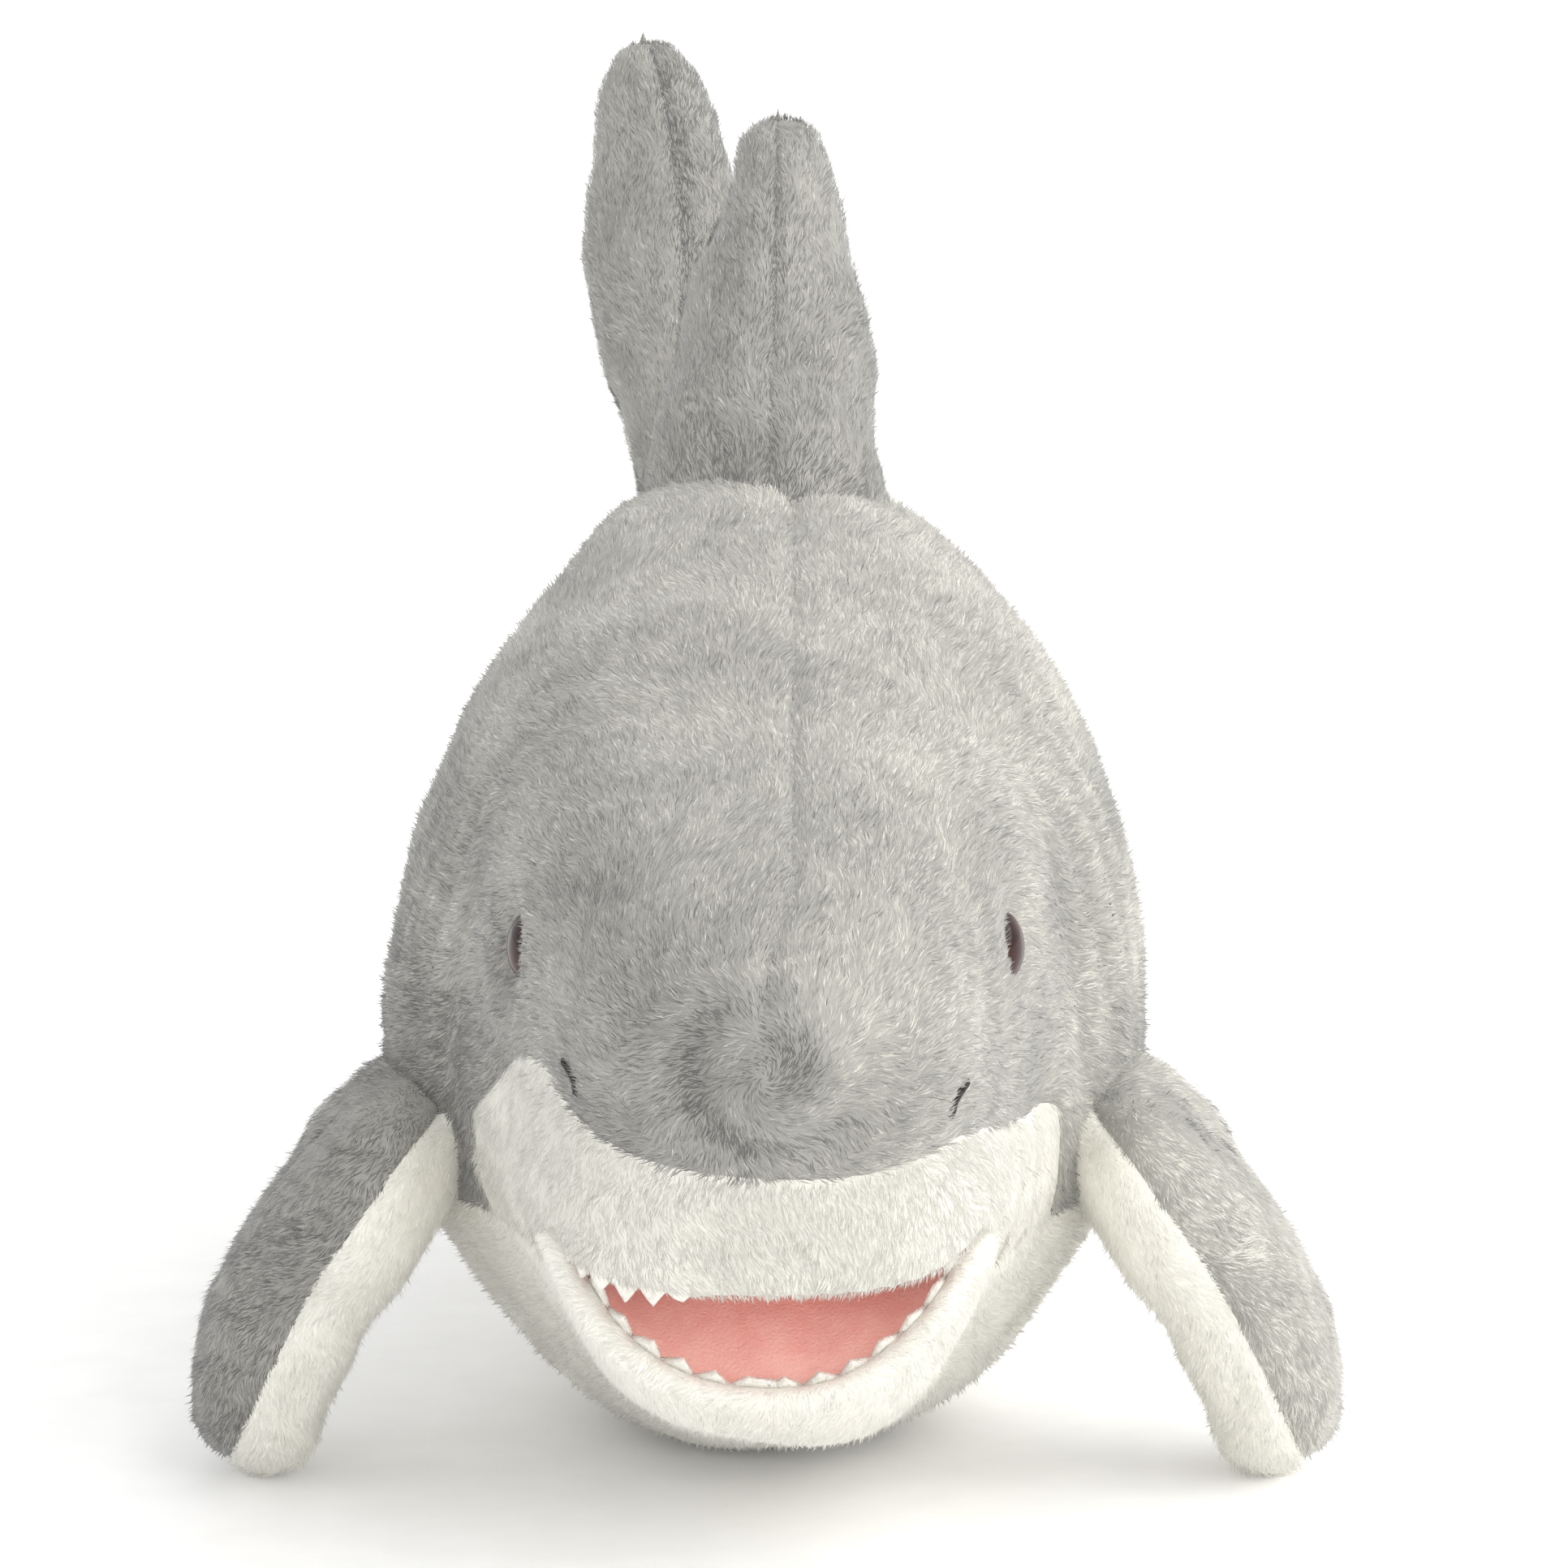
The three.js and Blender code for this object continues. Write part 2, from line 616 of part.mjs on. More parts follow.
// A felt strip on edge along the inside of a lip, notched between its teeth.
// It is made flat, with its teeth pointing to -Z for the upper lip and +Z for the lower,
// and then raised to follow the lip.
function toothStrip(lip, backS, points) {
  const curve = lipCurve(lip, backS);
  const inwards = (place, distance) => {
    const tangent = curve.getTangentAt(place);
    return curve.getPointAt(place).add(new THREE.Vector3(-tangent.y, tangent.x, 0).multiplyScalar(-distance));
  };
  const steps = roundFacets.lipEdge;
  const outline = new THREE.Shape();
  const edge = [];
  for (let i = 0; i <= steps; i += 1) {
    edge.push(inwards(i / steps, plush + gap));
  }
  for (let i = steps; i >= 0; i -= 1) {
    edge.push(inwards(i / steps, plush + gap + felt));
  }
  outline.setFromPoints(edge.map((point) => new THREE.Vector2(point.x, point.y)));
  const wall = new THREE.ExtrudeGeometry(outline, { depth: teeth.height, bevelEnabled: false });

  const count = Math.round(curve.getLength() / teeth.pitch);
  const notches = [];
  for (let i = 0; i <= count; i += 1) {
    const place = inwards(Math.min(i / count, 1), plush + gap + felt / 2);
    const notch = new THREE.ConeGeometry(teeth.pitch / 2, teeth.height - teeth.band, roundFacets.notch);
    notch.rotateX(-Math.PI / 2);
    notch.translate(place.x, place.y, (teeth.height + teeth.band + sliver) / 2);
    notches.push(toSolid(notch));
  }
  const strip = toGeometry(largestBody(toSolid(wall).subtract(union(notches))));
  if (points === 'down') {
    strip.scale(1, 1, -1);
    flipFaces(strip);
  }
  strip.translate(0, 0, points === 'down' ? -gap : gap);
  const corners = strip.getAttribute('position');
  for (let i = 0; i < corners.count; i += 1) {
    corners.setZ(i, corners.getZ(i) + heightAt(lip, corners.getY(i)));
  }
  return toSolid(strip);
}

addPiece('upper_teeth', toothStrip(upperLip, teeth.upperBack, 'down'), whiteFelt);
addPiece('lower_teeth', toothStrip(lowerLip, teeth.lowerBack, 'up'), whiteFelt);

// ---------------------------------------------------------------- stitching on the skin

// A raised layer that lies just over the skin, cut to the outline of the stitching.
const threadLayer = toSolid(offset(body, gap + thread)).subtract(toSolid(offset(body, gap)));

function tiltedBar(x, s, z, sizeX, sizeS, sizeZ, lean) {
  const bar = new THREE.BoxGeometry(sizeX, sizeS, sizeZ);
  bar.rotateX(THREE.MathUtils.degToRad(lean));
  bar.translate(x, s, z);
  return toSolid(bar);
}

for (const [side, name] of [[1, 'left'], [-1, 'right']]) {
  const frame = outwardFrame(side, eye, eyeOutward);
  addPiece(`eye_${name}`, toSolid(eyeWithStem().applyMatrix4(frame)), eyePlastic);
  addPiece(`eye_washer_${name}`, toSolid(eyeWasher().applyMatrix4(frame)), washerPlastic);

  const mark = tiltedBar(
    side * nostril.x, nostril.s, nostril.z, nostril.reach, nostril.length, nostril.width, nostril.slant,
  );
  addPiece(`nostril_stitch_${name}`, threadLayer.intersect(mark), darkThread);

  for (let i = 0; i < gill.count; i += 1) {
    const s = gill.firstS + i * gill.pitch;
    const middle = (gill.low + gill.high) / 2;
    const slit = tiltedBar(side * gill.x, s, middle, gill.reach, gill.width, gill.high - gill.low, gill.lean);
    addPiece(`gill_stitch_${name}_${i + 1}`, threadLayer.intersect(slit), greyThread);
  }
}

const seamSide = closingSeam.width / 2;
const seamBox = bentBox(-seamSide, seamSide, closingSeam.from, closingSeam.to, 0, closingSeam.top);
addPiece('closing_stitch', threadLayer.intersect(seamBox), whiteThread);

// ---------------------------------------------------------------- tail

const tailSkin = bodySkin.intersect(tailShape).subtract(caudalRoom);
const tailBack = tailSkin.subtract(notGrey);
addPiece('tail_panel_left', tailBack.intersect(leftHalf), greyPlush);
addPiece('tail_panel_right', tailBack.intersect(rightHalf), greyPlush);
addPiece('tail_belly_panel', tailSkin.intersect(white), whitePlush);
addPiece('tail_filling', fillingVolume.intersect(tailShape).subtract(caudalRoom), fibre);

// ---------------------------------------------------------------- fins

// Two panels sewn round the edge over a filling: the skin is parted by the two halves.
function addFin(name, outer, inner, filling, halves, colours) {
  const skin = outer.subtract(inner);
  addPiece(`${name}_${halves.names[0]}_panel`, skin.intersect(halves.solids[0]), colours[0]);
  addPiece(`${name}_${halves.names[1]}_panel`, skin.intersect(halves.solids[1]), colours[1]);
  addPiece(`${name}_filling`, filling, fibre);
}

function finLayers(geometry) {
  return {
    outer: toSolid(geometry),
    inner: toSolid(offset(geometry, -plush)),
    filling: toSolid(offset(geometry, -plush - 2 * gap)),
  };
}

const sides = { names: ['left', 'right'], solids: [leftHalf, rightHalf] };

const dorsalLayers = finLayers(dorsal);
addFin('dorsal', dorsalLayers.outer, dorsalLayers.inner, dorsalLayers.filling, sides, [greyPlush, greyPlush]);

const caudalLayers = finLayers(caudal);
const stuffedBand = box(-farOut, farOut, -farOut, 2 * farOut, caudalStuffed.low, caudalStuffed.high);
addFin(
  'caudal',
  caudalLayers.outer.subtract(caudalCut),
  caudalLayers.inner.subtract(caudalCut),
  caudalLayers.filling.intersect(stuffedBand).subtract(caudalCut),
  sides,
  [greyPlush, greyPlush],
);

// The pectoral fin is grey above and white below, parted at its edge seam.
const upperSide = box(-farOut, -gap / 2, -farOut, farOut, -farOut, farOut);
const lowerSide = box(gap / 2, farOut, -farOut, farOut, -farOut, farOut);

for (const side of ['left', 'right']) {
  const place = (geometry) => (side === 'right' ? mirrored(onPectoral(geometry)) : onPectoral(geometry));
  const layers = finLayers(side === 'left' ? pectoralLeft : pectoralRight);
  const halves = {
    names: ['top', 'under'],
    solids: [toSolid(place(toGeometry(upperSide))), toSolid(place(toGeometry(lowerSide)))],
  };
  addFin(`pectoral_${side}`, layers.outer, layers.inner, layers.filling, halves, [greyPlush, whitePlush]);
}

shark.updateMatrixWorld(true);
export default shark;
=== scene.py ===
import math

import bmesh
import bpy
import numpy as np
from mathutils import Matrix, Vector


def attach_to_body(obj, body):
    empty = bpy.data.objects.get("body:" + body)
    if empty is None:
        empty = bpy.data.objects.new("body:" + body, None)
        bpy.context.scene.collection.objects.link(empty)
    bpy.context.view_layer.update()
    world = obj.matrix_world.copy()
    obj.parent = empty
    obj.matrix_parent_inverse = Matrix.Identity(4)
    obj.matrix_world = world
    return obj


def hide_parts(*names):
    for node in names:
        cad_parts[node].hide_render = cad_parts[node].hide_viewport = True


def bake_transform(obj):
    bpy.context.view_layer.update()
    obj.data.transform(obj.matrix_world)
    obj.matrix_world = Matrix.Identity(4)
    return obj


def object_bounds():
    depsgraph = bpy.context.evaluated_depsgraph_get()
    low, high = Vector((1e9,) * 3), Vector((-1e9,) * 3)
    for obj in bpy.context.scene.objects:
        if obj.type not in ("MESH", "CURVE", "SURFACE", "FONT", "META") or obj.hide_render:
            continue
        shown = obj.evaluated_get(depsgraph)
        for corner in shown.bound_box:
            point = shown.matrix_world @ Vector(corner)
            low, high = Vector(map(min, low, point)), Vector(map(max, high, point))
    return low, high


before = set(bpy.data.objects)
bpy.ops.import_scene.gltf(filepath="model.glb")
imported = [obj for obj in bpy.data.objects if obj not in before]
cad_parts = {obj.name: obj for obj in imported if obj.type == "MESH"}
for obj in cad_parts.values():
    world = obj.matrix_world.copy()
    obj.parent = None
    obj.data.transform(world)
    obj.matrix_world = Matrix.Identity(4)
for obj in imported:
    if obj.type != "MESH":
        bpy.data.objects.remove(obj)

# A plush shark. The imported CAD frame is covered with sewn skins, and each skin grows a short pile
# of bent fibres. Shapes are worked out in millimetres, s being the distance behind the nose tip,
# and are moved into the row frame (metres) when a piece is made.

cad_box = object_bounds()
NOSE_Y = cad_box[0][1]
MM = 0.001
FAR = 200            # a distance that no mark on the skin reaches

# ---------------------------------------------------------------- driving dimensions, as in part.mjs

TAIL_BEND = {"start": 190, "full": 372, "sideways": -24}
JAW = {"s": 60, "z": 51}

# The lips as (s, z): middle of the mouth, mouth corner, and back to the jaw hinge. The upper lip is
# 2 mm higher at the corner than in part.mjs, since pile hangs over it, and the cheeks are sewn closer.
UPPER_LIP = np.array([(24, 57.3), (36, 61.5), (42, 64), (48, 61.5), (60, 53.5)], float)
LOWER_LIP = np.array([(33, 33.8), (35, 42), (38.5, 50), (43, 57), (48, 59.3), (60, 52)], float)

TAIL_HINGE_S = 262
CAUDAL_HINGE_S = 340
DORSAL = {"s": 182, "z": 155, "lean": 1.5}
PECTORAL = {"x": 60, "s": 108, "z": 60, "droop": 59}
EYE = {"x": 40.4, "s": 62, "z": 105, "radius": 6.0, "dome": 2.4, "sunk": 1.4,
       "outward": (0.93, -0.34, 0.12), "stem": 2.0, "stem_length": 10, "sides": 48}
NOSTRIL = {"x": 32, "s": 22, "z": 90.5, "length": 7.5, "slant": 50}
GILL = {"first": 90, "pitch": 9, "count": 4, "low": 82, "high": 112, "lean": 0.12, "upright_at": 95}
CLOSING = {"first": 276, "last": 306, "stitches": 9}

# Rings of the body: s, half width, mid, top and low heights, and how square the underside is.
BODY_RINGS = np.array([
    (0, 0, 98, 98, 98, 1.8), (3, 16, 98, 109, 87, 1.8), (10, 25, 96, 116, 76, 1.8),
    (24, 34, 94, 124, 53, 2), (34, 37, 93, 128, 33, 2.2), (48, 41, 92, 133, 23.5, 2.3),
    (66, 46, 90, 139, 19.5, 2.2), (88, 54, 86, 146, 12, 2), (110, 64, 81, 153, 5, 2),
    (132, 68, 79, 159, 0, 2), (165, 64, 80, 165, -3, 2), (205, 53, 81, 160, 1, 2),
    (250, 36, 82, 138, 20, 2), (300, 22, 84, 117, 48, 2), (342, 14, 87, 105, 67, 2),
    (354, 0, 87, 87, 87, 2),
], float)

# Rings of the upright fins: s and z of the centre, half chord, half thickness.
DORSAL_RINGS = np.array([
    (181, 133, 0, 0), (181, 141, 24, 16), (182, 155, 32, 24.5), (189, 176, 27, 22.5),
    (200, 197, 20, 18.5), (212, 215, 13, 13), (218, 224, 8, 8.5), (221, 228, 0, 0),
], float)
CAUDAL_RINGS = np.array([
    (382, 230, 0, 0), (378, 224, 8, 10), (369, 203, 15, 17), (358, 168, 20, 18),
    (349, 128, 22, 12.5), (346, 95, 23, 11.5), (350, 68, 18, 12), (359, 45, 12, 9),
    (366, 30, 6, 5), (368, 25, 0, 0),
], float)

# Rings of a pectoral fin in its own frame: span, sweep, bow, half chord, half thickness.
PECTORAL_RINGS = np.array([
    (-14, 0, 0, 0, 0), (-10, 0, 1, 17, 10), (0, 0, 3, 26, 15), (20, 0, 4, 26, 17),
    (42, 1, 3, 22, 16.5), (58, 1, 1, 16, 13), (65, 2, 0, 9, 8), (68, 2, 0, 0, 0),
], float)

# The edge between the grey back and the white underside, as (s, z).
BORDER = np.array([
    (-10, 78), (8, 79), (26, 85), (56, 82), (84, 72), (92, 51), (150, 46), (240, 52), (400, 71),
], float)

# ---------------------------------------------------------------- how the plush is made

INSET = 1.1          # the backing cloth lies this far inside the CAD's pressed pile
FIN_INSET = 1.2
PILE_LENGTH = 2.6
PILE_WIDTH = 0.175
PILE_PER_MM2 = 5.0
FIBRES_IN_A_PIECE = 95000
SEAM_X = 4.5         # the back seam of the stuffed head lies a little to the shark's left
SEAM_STRAIGHTENS = (150, 185)    # and comes back to the middle between these
CROOKED = 0.07       # angle by which the white muzzle is sewn on turned, higher on the right
CROOKED_NOSTRILS = 1.8
EYE_SET_IN = 0.8     # the thread behind an eye pulls it this far into the filling
CELL = 2.0           # size of a skin's mesh cell
LIP_ROLL = 1.8
LIP_ROLL_ROWS = 6
LIP_ROLL_TURN = 2.6  # radians

# Marks on the skin that the CAD doesn't have.
WHORL = {"x": 3.4, "z": 99.5}
NOSE_BUMP = {"x": 1, "s": 1, "z": 97}
NOSE_PILE = {"x": 2, "z": 98}
NAPE = {"x": 4, "s": 146, "lowest": 100}


# ---------------------------------------------------------------- small helpers

def smooth(low, high, value):
    t = np.clip((np.asarray(value, float) - low) / (high - low), 0, 1)
    return t * t * (3 - 2 * t)


def bump(distance, width):
    return np.exp(-(np.asarray(distance, float) / width) ** 2)


def unit(vectors):
    length = np.linalg.norm(vectors, axis=-1, keepdims=True)
    return vectors / np.maximum(length, 1e-9)


def waves(points, wavelength, seed, count=9):
    """Smooth noise of about unit strength: a seeded sum of plane waves."""
    rng = np.random.default_rng(seed)
    directions = unit(rng.normal(size=(count, 3)))
    lengths = wavelength * rng.uniform(0.7, 1.5, count)
    phases = rng.uniform(0, 2 * math.pi, count)
    turns = points @ (directions / lengths[:, None]).T * 2 * math.pi + phases
    return np.sin(turns).sum(-1) / math.sqrt(count / 2)


def to_row(points):
    """Millimetres behind the nose to metres in the row frame."""
    moved = np.array(points, float) * MM
    moved[..., 1] += NOSE_Y
    return moved


def row_point(x, s, z):
    return tuple(float(v) for v in to_row(np.array([x, s, z])))


def add_mesh(name, points, faces, materials, face_material=None):
    mesh = bpy.data.meshes.new(name)
    mesh.from_pydata([], [], [])
    points = np.asarray(points, np.float32)
    faces = np.asarray(faces, np.int32)
    mesh.vertices.add(len(points))
    mesh.vertices.foreach_set("co", points.ravel())
    mesh.loops.add(faces.size)
    mesh.loops.foreach_set("vertex_index", faces.ravel())
    mesh.polygons.add(len(faces))
    mesh.polygons.foreach_set("loop_start", np.arange(len(faces), dtype=np.int32) * faces.shape[1])
    for material in materials:
        mesh.materials.append(material)
    if face_material is not None:
        mesh.polygons.foreach_set("material_index", np.asarray(face_material, np.int32))
    mesh.update(calc_edges=True)
    mesh.shade_smooth()
    piece = bpy.data.objects.new(name, mesh)
    bpy.context.scene.collection.objects.link(piece)
    return piece


def tube_faces(rows, sides, capped=True):
    """Faces of a tube of rings. If it is capped, its two end points come after those of the rings."""
    index = np.arange(rows * sides).reshape(rows, sides)
    turned = np.roll(index, -1, 1)
    walls = np.stack([index[:-1], turned[:-1], turned[1:], index[1:]], -1).reshape(-1, 4)
    if not capped:
        return walls
    end = np.full(sides, index.size)
    first = np.stack([end, turned[0], index[0], index[0]], -1)
    last = np.stack([end + 1, index[-1], turned[-1], turned[-1]], -1)
    return np.vstack([walls, first, last])


def grid_faces(rows, columns):
    index = np.arange(rows * columns).reshape(rows, columns)
    return np.stack([index[:-1, :-1], index[:-1, 1:], index[1:, 1:], index[1:, :-1]], -1).reshape(-1, 4)


def walked_along(points):
    """How far along a curve each of its points lies."""
    return np.concatenate([[0], np.cumsum(np.linalg.norm(np.diff(points, axis=0), axis=1))])


# ---------------------------------------------------------------- ring surfaces

def ring_at(rings, place):
    """Catmull-Rom through a table of rings, at fractional ring numbers."""
    place = np.asarray(place, float)
    last = len(rings) - 1
    i = np.clip(place.astype(int), 0, last - 1)
    t = (place - i)[..., None]
    a, b, c, d = (rings[np.clip(i + step, 0, last)] for step in (-1, 0, 1, 2))
    slope_b = (c - a) / 2
    slope_c = (d - b) / 2
    rise = c - b
    return b + t * (slope_b + t * (3 * rise - 2 * slope_b - slope_c + t * (slope_b + slope_c - 2 * rise)))


DENSE = np.linspace(0, len(BODY_RINGS) - 1, 3001)
DENSE_S = ring_at(BODY_RINGS, DENSE)[:, 0]


def place_of(s):
    return np.interp(s, DENSE_S, DENSE)


def s_of(place):
    return ring_at(BODY_RINGS, place)[..., 0]


def sideways_at(s):
    behind = np.maximum(0, s - TAIL_BEND["start"]) / (TAIL_BEND["full"] - TAIL_BEND["start"])
    return TAIL_BEND["sideways"] * behind ** 2


def body_surface(place, phi):
    """A point of the body. phi is 0 under the belly, half a turn on the back, positive on the left."""
    ring = ring_at(BODY_RINGS, place)
    s, half, mid, top, low, full = np.moveaxis(ring, -1, 0)
    phi = (np.asarray(phi, float) + math.pi) % (2 * math.pi) - math.pi
    side = np.where(phi < 0, -1.0, 1.0)
    angle = np.abs(phi) - math.pi / 2
    up = np.sin(angle)
    across = np.cos(angle)
    power = np.where(up < 0, 2 / full, 1)
    x = half * side * np.abs(across) ** power
    height = np.where(up < 0, mid - low, top - mid)
    z = mid + height * np.sign(up) * np.abs(up) ** power
    return np.stack([x, s, z], -1)


def phi_of(place, z):
    """Where the height z is met on the body, going up from the belly on the left."""
    ring = ring_at(BODY_RINGS, place)
    _, _, mid, top, low, full = np.moveaxis(ring, -1, 0)
    below = np.clip((mid - z) / np.maximum(mid - low, 1e-6), 0, 1) ** (full / 2)
    above = np.clip((z - mid) / np.maximum(top - mid, 1e-6), 0, 1)
    return np.where(z < mid, -np.arcsin(below), np.arcsin(above)) + math.pi / 2


def across_surface(surface, rings, place, angle):
    """A vector that stands square to a ring surface, of any length."""
    step = 0.02
    ahead_place = np.minimum(place + step, len(rings) - 1)
    ahead = surface(ahead_place, angle) - surface(np.maximum(place - step, 0), angle)
    around = surface(place, angle + step) - surface(place, angle - step)
    return np.cross(ahead, around)


def body_normal(place, phi):
    normal = across_surface(body_surface, BODY_RINGS, place, phi)
    tip = np.linalg.norm(normal, axis=-1, keepdims=True) < 1e-7
    forward = np.where(np.asarray(place)[..., None] < 1, (0.0, -1.0, 0.0), (0.0, 1.0, 0.0))
    return np.where(tip, forward, unit(normal))


def line_z(lip, s):
    return np.interp(s, lip[:, 0], lip[:, 1])


def border_z(s):
    return np.interp(s, BORDER_S, BORDER_Z)


def crooked(s):
    """How far round the body the border is moved, fading out at the cheeks."""
    return CROOKED * (1 - smooth(60, 84, s))


def from_nostril(x, s, z):
    """Distance from the nearer nostril."""
    side = np.sign(x)
    across = x - side * NOSTRIL["x"]
    return np.sqrt(across ** 2 + (s - NOSTRIL["s"]) ** 2 + (z - nostril_z(side)) ** 2)


def nostril_z(side):
    return NOSTRIL["z"] - side * CROOKED_NOSTRILS


def smooth_border():
    """The border as a smooth curve, with its one sharp corner behind the cheek kept."""
    corner = 5
    front = ring_at(BORDER[:corner], np.linspace(0, corner - 1, 200))
    back = ring_at(BORDER[corner:], np.linspace(0, len(BORDER) - corner - 1, 200))
    both = np.vstack([front, back])
    return both[:, 0], both[:, 1]


BORDER_S, BORDER_Z = smooth_border()


def seam_phi(s, place):
    """Angle of the back seam, which wanders off the top of the head."""
    offset = SEAM_X * smooth(2, 30, s) * (1 - smooth(*SEAM_STRAIGHTENS, s))
    half = np.maximum(ring_at(BODY_RINGS, place)[..., 1], 12)
    return math.pi - np.arcsin(np.clip(offset / half, -0.5, 0.5))


def seam_distance(s, place, phi):
    """Distance round the body from the back seam."""
    return np.abs(np.asarray(phi) % (2 * math.pi) - seam_phi(s, place)) * ring_at(BODY_RINGS, place)[..., 1]


# ---------------------------------------------------------------- what the needle and the filling do

def body_sculpt(points, place, phi):
    """How far the stuffed skin stands out of the plain loft, in millimetres, before the bend."""
    x, s, z = np.moveaxis(points, -1, 0)
    side = np.sign(x)
    out = 0.9 * waves(points, 62, 11) * smooth(8, 40, s)
    out += 0.2 * waves(points * (1, 1.4, 1), 19, 12) * smooth(20, 60, s)

    # Back seam, pulled in between the two grey panels.
    on_top = smooth(95, 115, z)
    out -= 1.0 * bump(seam_distance(s, place, phi), 1.8) * on_top

    # Border seam between grey and white.
    ring = ring_at(BODY_RINGS, place)
    sewn_z = border_z(s) - side * crooked(s) * (ring[..., 2] - ring[..., 4])
    out -= 0.7 * bump(z - sewn_z, 1.6) * smooth(30, 50, s)

    # Bump of the nose over the whorl in its pile.
    nose = np.sqrt((x - NOSE_BUMP["x"]) ** 2 + (z - NOSE_BUMP["z"]) ** 2 + (s - NOSE_BUMP["s"]) ** 2)
    whorl = np.sqrt((x - WHORL["x"]) ** 2 + (z - WHORL["z"]) ** 2 + s ** 2)
    out += 2.6 * bump(nose, 11) - 1.3 * bump(nose - 14, 4) - 2.4 * bump(whorl, 4)

    # Dimple and folds of the nape, in front of the dorsal fin.
    from_nape = np.abs(x - NAPE["x"])
    nape = np.sqrt(from_nape ** 2 + ((s - NAPE["s"]) * 0.8) ** 2) + FAR * (z < NAPE["lowest"])
    out -= 2.6 * bump(nape, 6)
    bent = s + 0.12 * from_nape + 1.6 * np.sin(x / 11)
    folds = np.sin(bent / 4.2) + 0.6 * np.sin(bent / 2.9 + 1.7)
    nape_only = smooth(100, 122, s) * (1 - smooth(150, 165, s)) * on_top * smooth(1, 12, from_nape)
    out += 0.42 * folds * nape_only * (0.6 + 0.4 * waves(points, 30, 13))

    # Eyes sewn into the filling: a dent with a puckered rim.
    eye = np.sqrt((x - side * EYE["x"]) ** 2 + (s - EYE["s"]) ** 2 + ((z - EYE["z"]) * 0.8) ** 2)
    out += -2.5 * bump(eye, 6) + 0.9 * bump(eye - 12, 4)

    # Dents under the nostril stitches.
    out -= 1.4 * bump(from_nostril(x, s, z), 4)

    # Gill tucks: four upright grooves behind each cheek.
    out -= 0.65 * gill_groove(s, z)
    return out


def gill_groove(s, z):
    """1 in the bottom of a gill tuck, -1 on the ridge between two, and 0 away from the gills."""
    last = GILL["first"] + (GILL["count"] - 1) * GILL["pitch"]
    wave = np.cos((s - GILL["first"] + GILL["lean"] * (z - GILL["upright_at"])) * 2 * math.pi / GILL["pitch"])
    band = smooth(GILL["first"] - 6, GILL["first"], s) * (1 - smooth(last, last + 6, s))
    tall = smooth(GILL["low"] - 14, GILL["low"] + 4, z) * (1 - smooth(GILL["high"] + 4, GILL["high"] + 26, z))
    return wave * band * tall


def body_skin(place, phi):
    """Points of the sewn body skin, bent like the tail, and resting flat under the belly."""
    base = body_surface(place, phi)
    swelling = 0.7 * body_swelling.at(place, phi) * smooth(20, 70, base[..., 1])
    out = body_sculpt(base, place, phi) + swelling - INSET
    points = base + body_normal(place, phi) * out[..., None]
    points[..., 2] = np.maximum(points[..., 2], 0.9)
    points[..., 0] += sideways_at(points[..., 1])
    return points


# ---------------------------------------------------------------- filling the cloth

SWELL_FRAMES = 20
SWELL_PRESSURE = 4
SWELL_CAP = 0.003


def stuffed(name, points, seams):
    """Fills a closed tube of cloth, a grid of rings in millimetres, and returns how each point moved.

    seams are the columns sewn to the neighbouring panel: the thread holds them while the rest swells.
    """
    rows, columns = points.shape[:2]
    index = np.arange(rows * columns).reshape(rows, columns)
    tube = add_mesh(name, to_row(points.reshape(-1, 3)), tube_faces(rows, columns, capped=False), [])
    group = tube.vertex_groups.new(name="sewn")
    group.add([int(i) for i in index[:, seams].ravel()], 0.6, "REPLACE")
    group.add([int(i) for i in np.concatenate([index[0], index[-1]])], 1.0, "REPLACE")
    cloth = tube.modifiers.new("cloth", "CLOTH")
    settings = cloth.settings
    settings.quality = 5
    settings.mass = 0.2
    settings.tension_stiffness = 12
    settings.compression_stiffness = 12
    settings.shear_stiffness = 4
    settings.bending_stiffness = 0.4
    settings.shrink_min = -0.035
    settings.use_pressure = True
    settings.uniform_pressure_force = SWELL_PRESSURE
    settings.vertex_group_mass = "sewn"
    settings.effector_weights.gravity = 0
    cloth.point_cache.frame_start = 1
    cloth.point_cache.frame_end = SWELL_FRAMES
    for step in range(1, SWELL_FRAMES + 1):
        bpy.context.scene.frame_set(step)
    shown = tube.evaluated_get(bpy.context.evaluated_depsgraph_get())
    after = np.empty(rows * columns * 3, np.float32)
    shown.data.vertices.foreach_get("co", after)
    moved = after.reshape(rows, columns, 3) - to_row(points)
    far = np.linalg.norm(moved, axis=-1, keepdims=True)
    moved *= np.minimum(1, SWELL_CAP / np.maximum(far, 1e-9))
    bpy.data.objects.remove(tube)
    bpy.context.scene.frame_set(1)
    return moved / MM


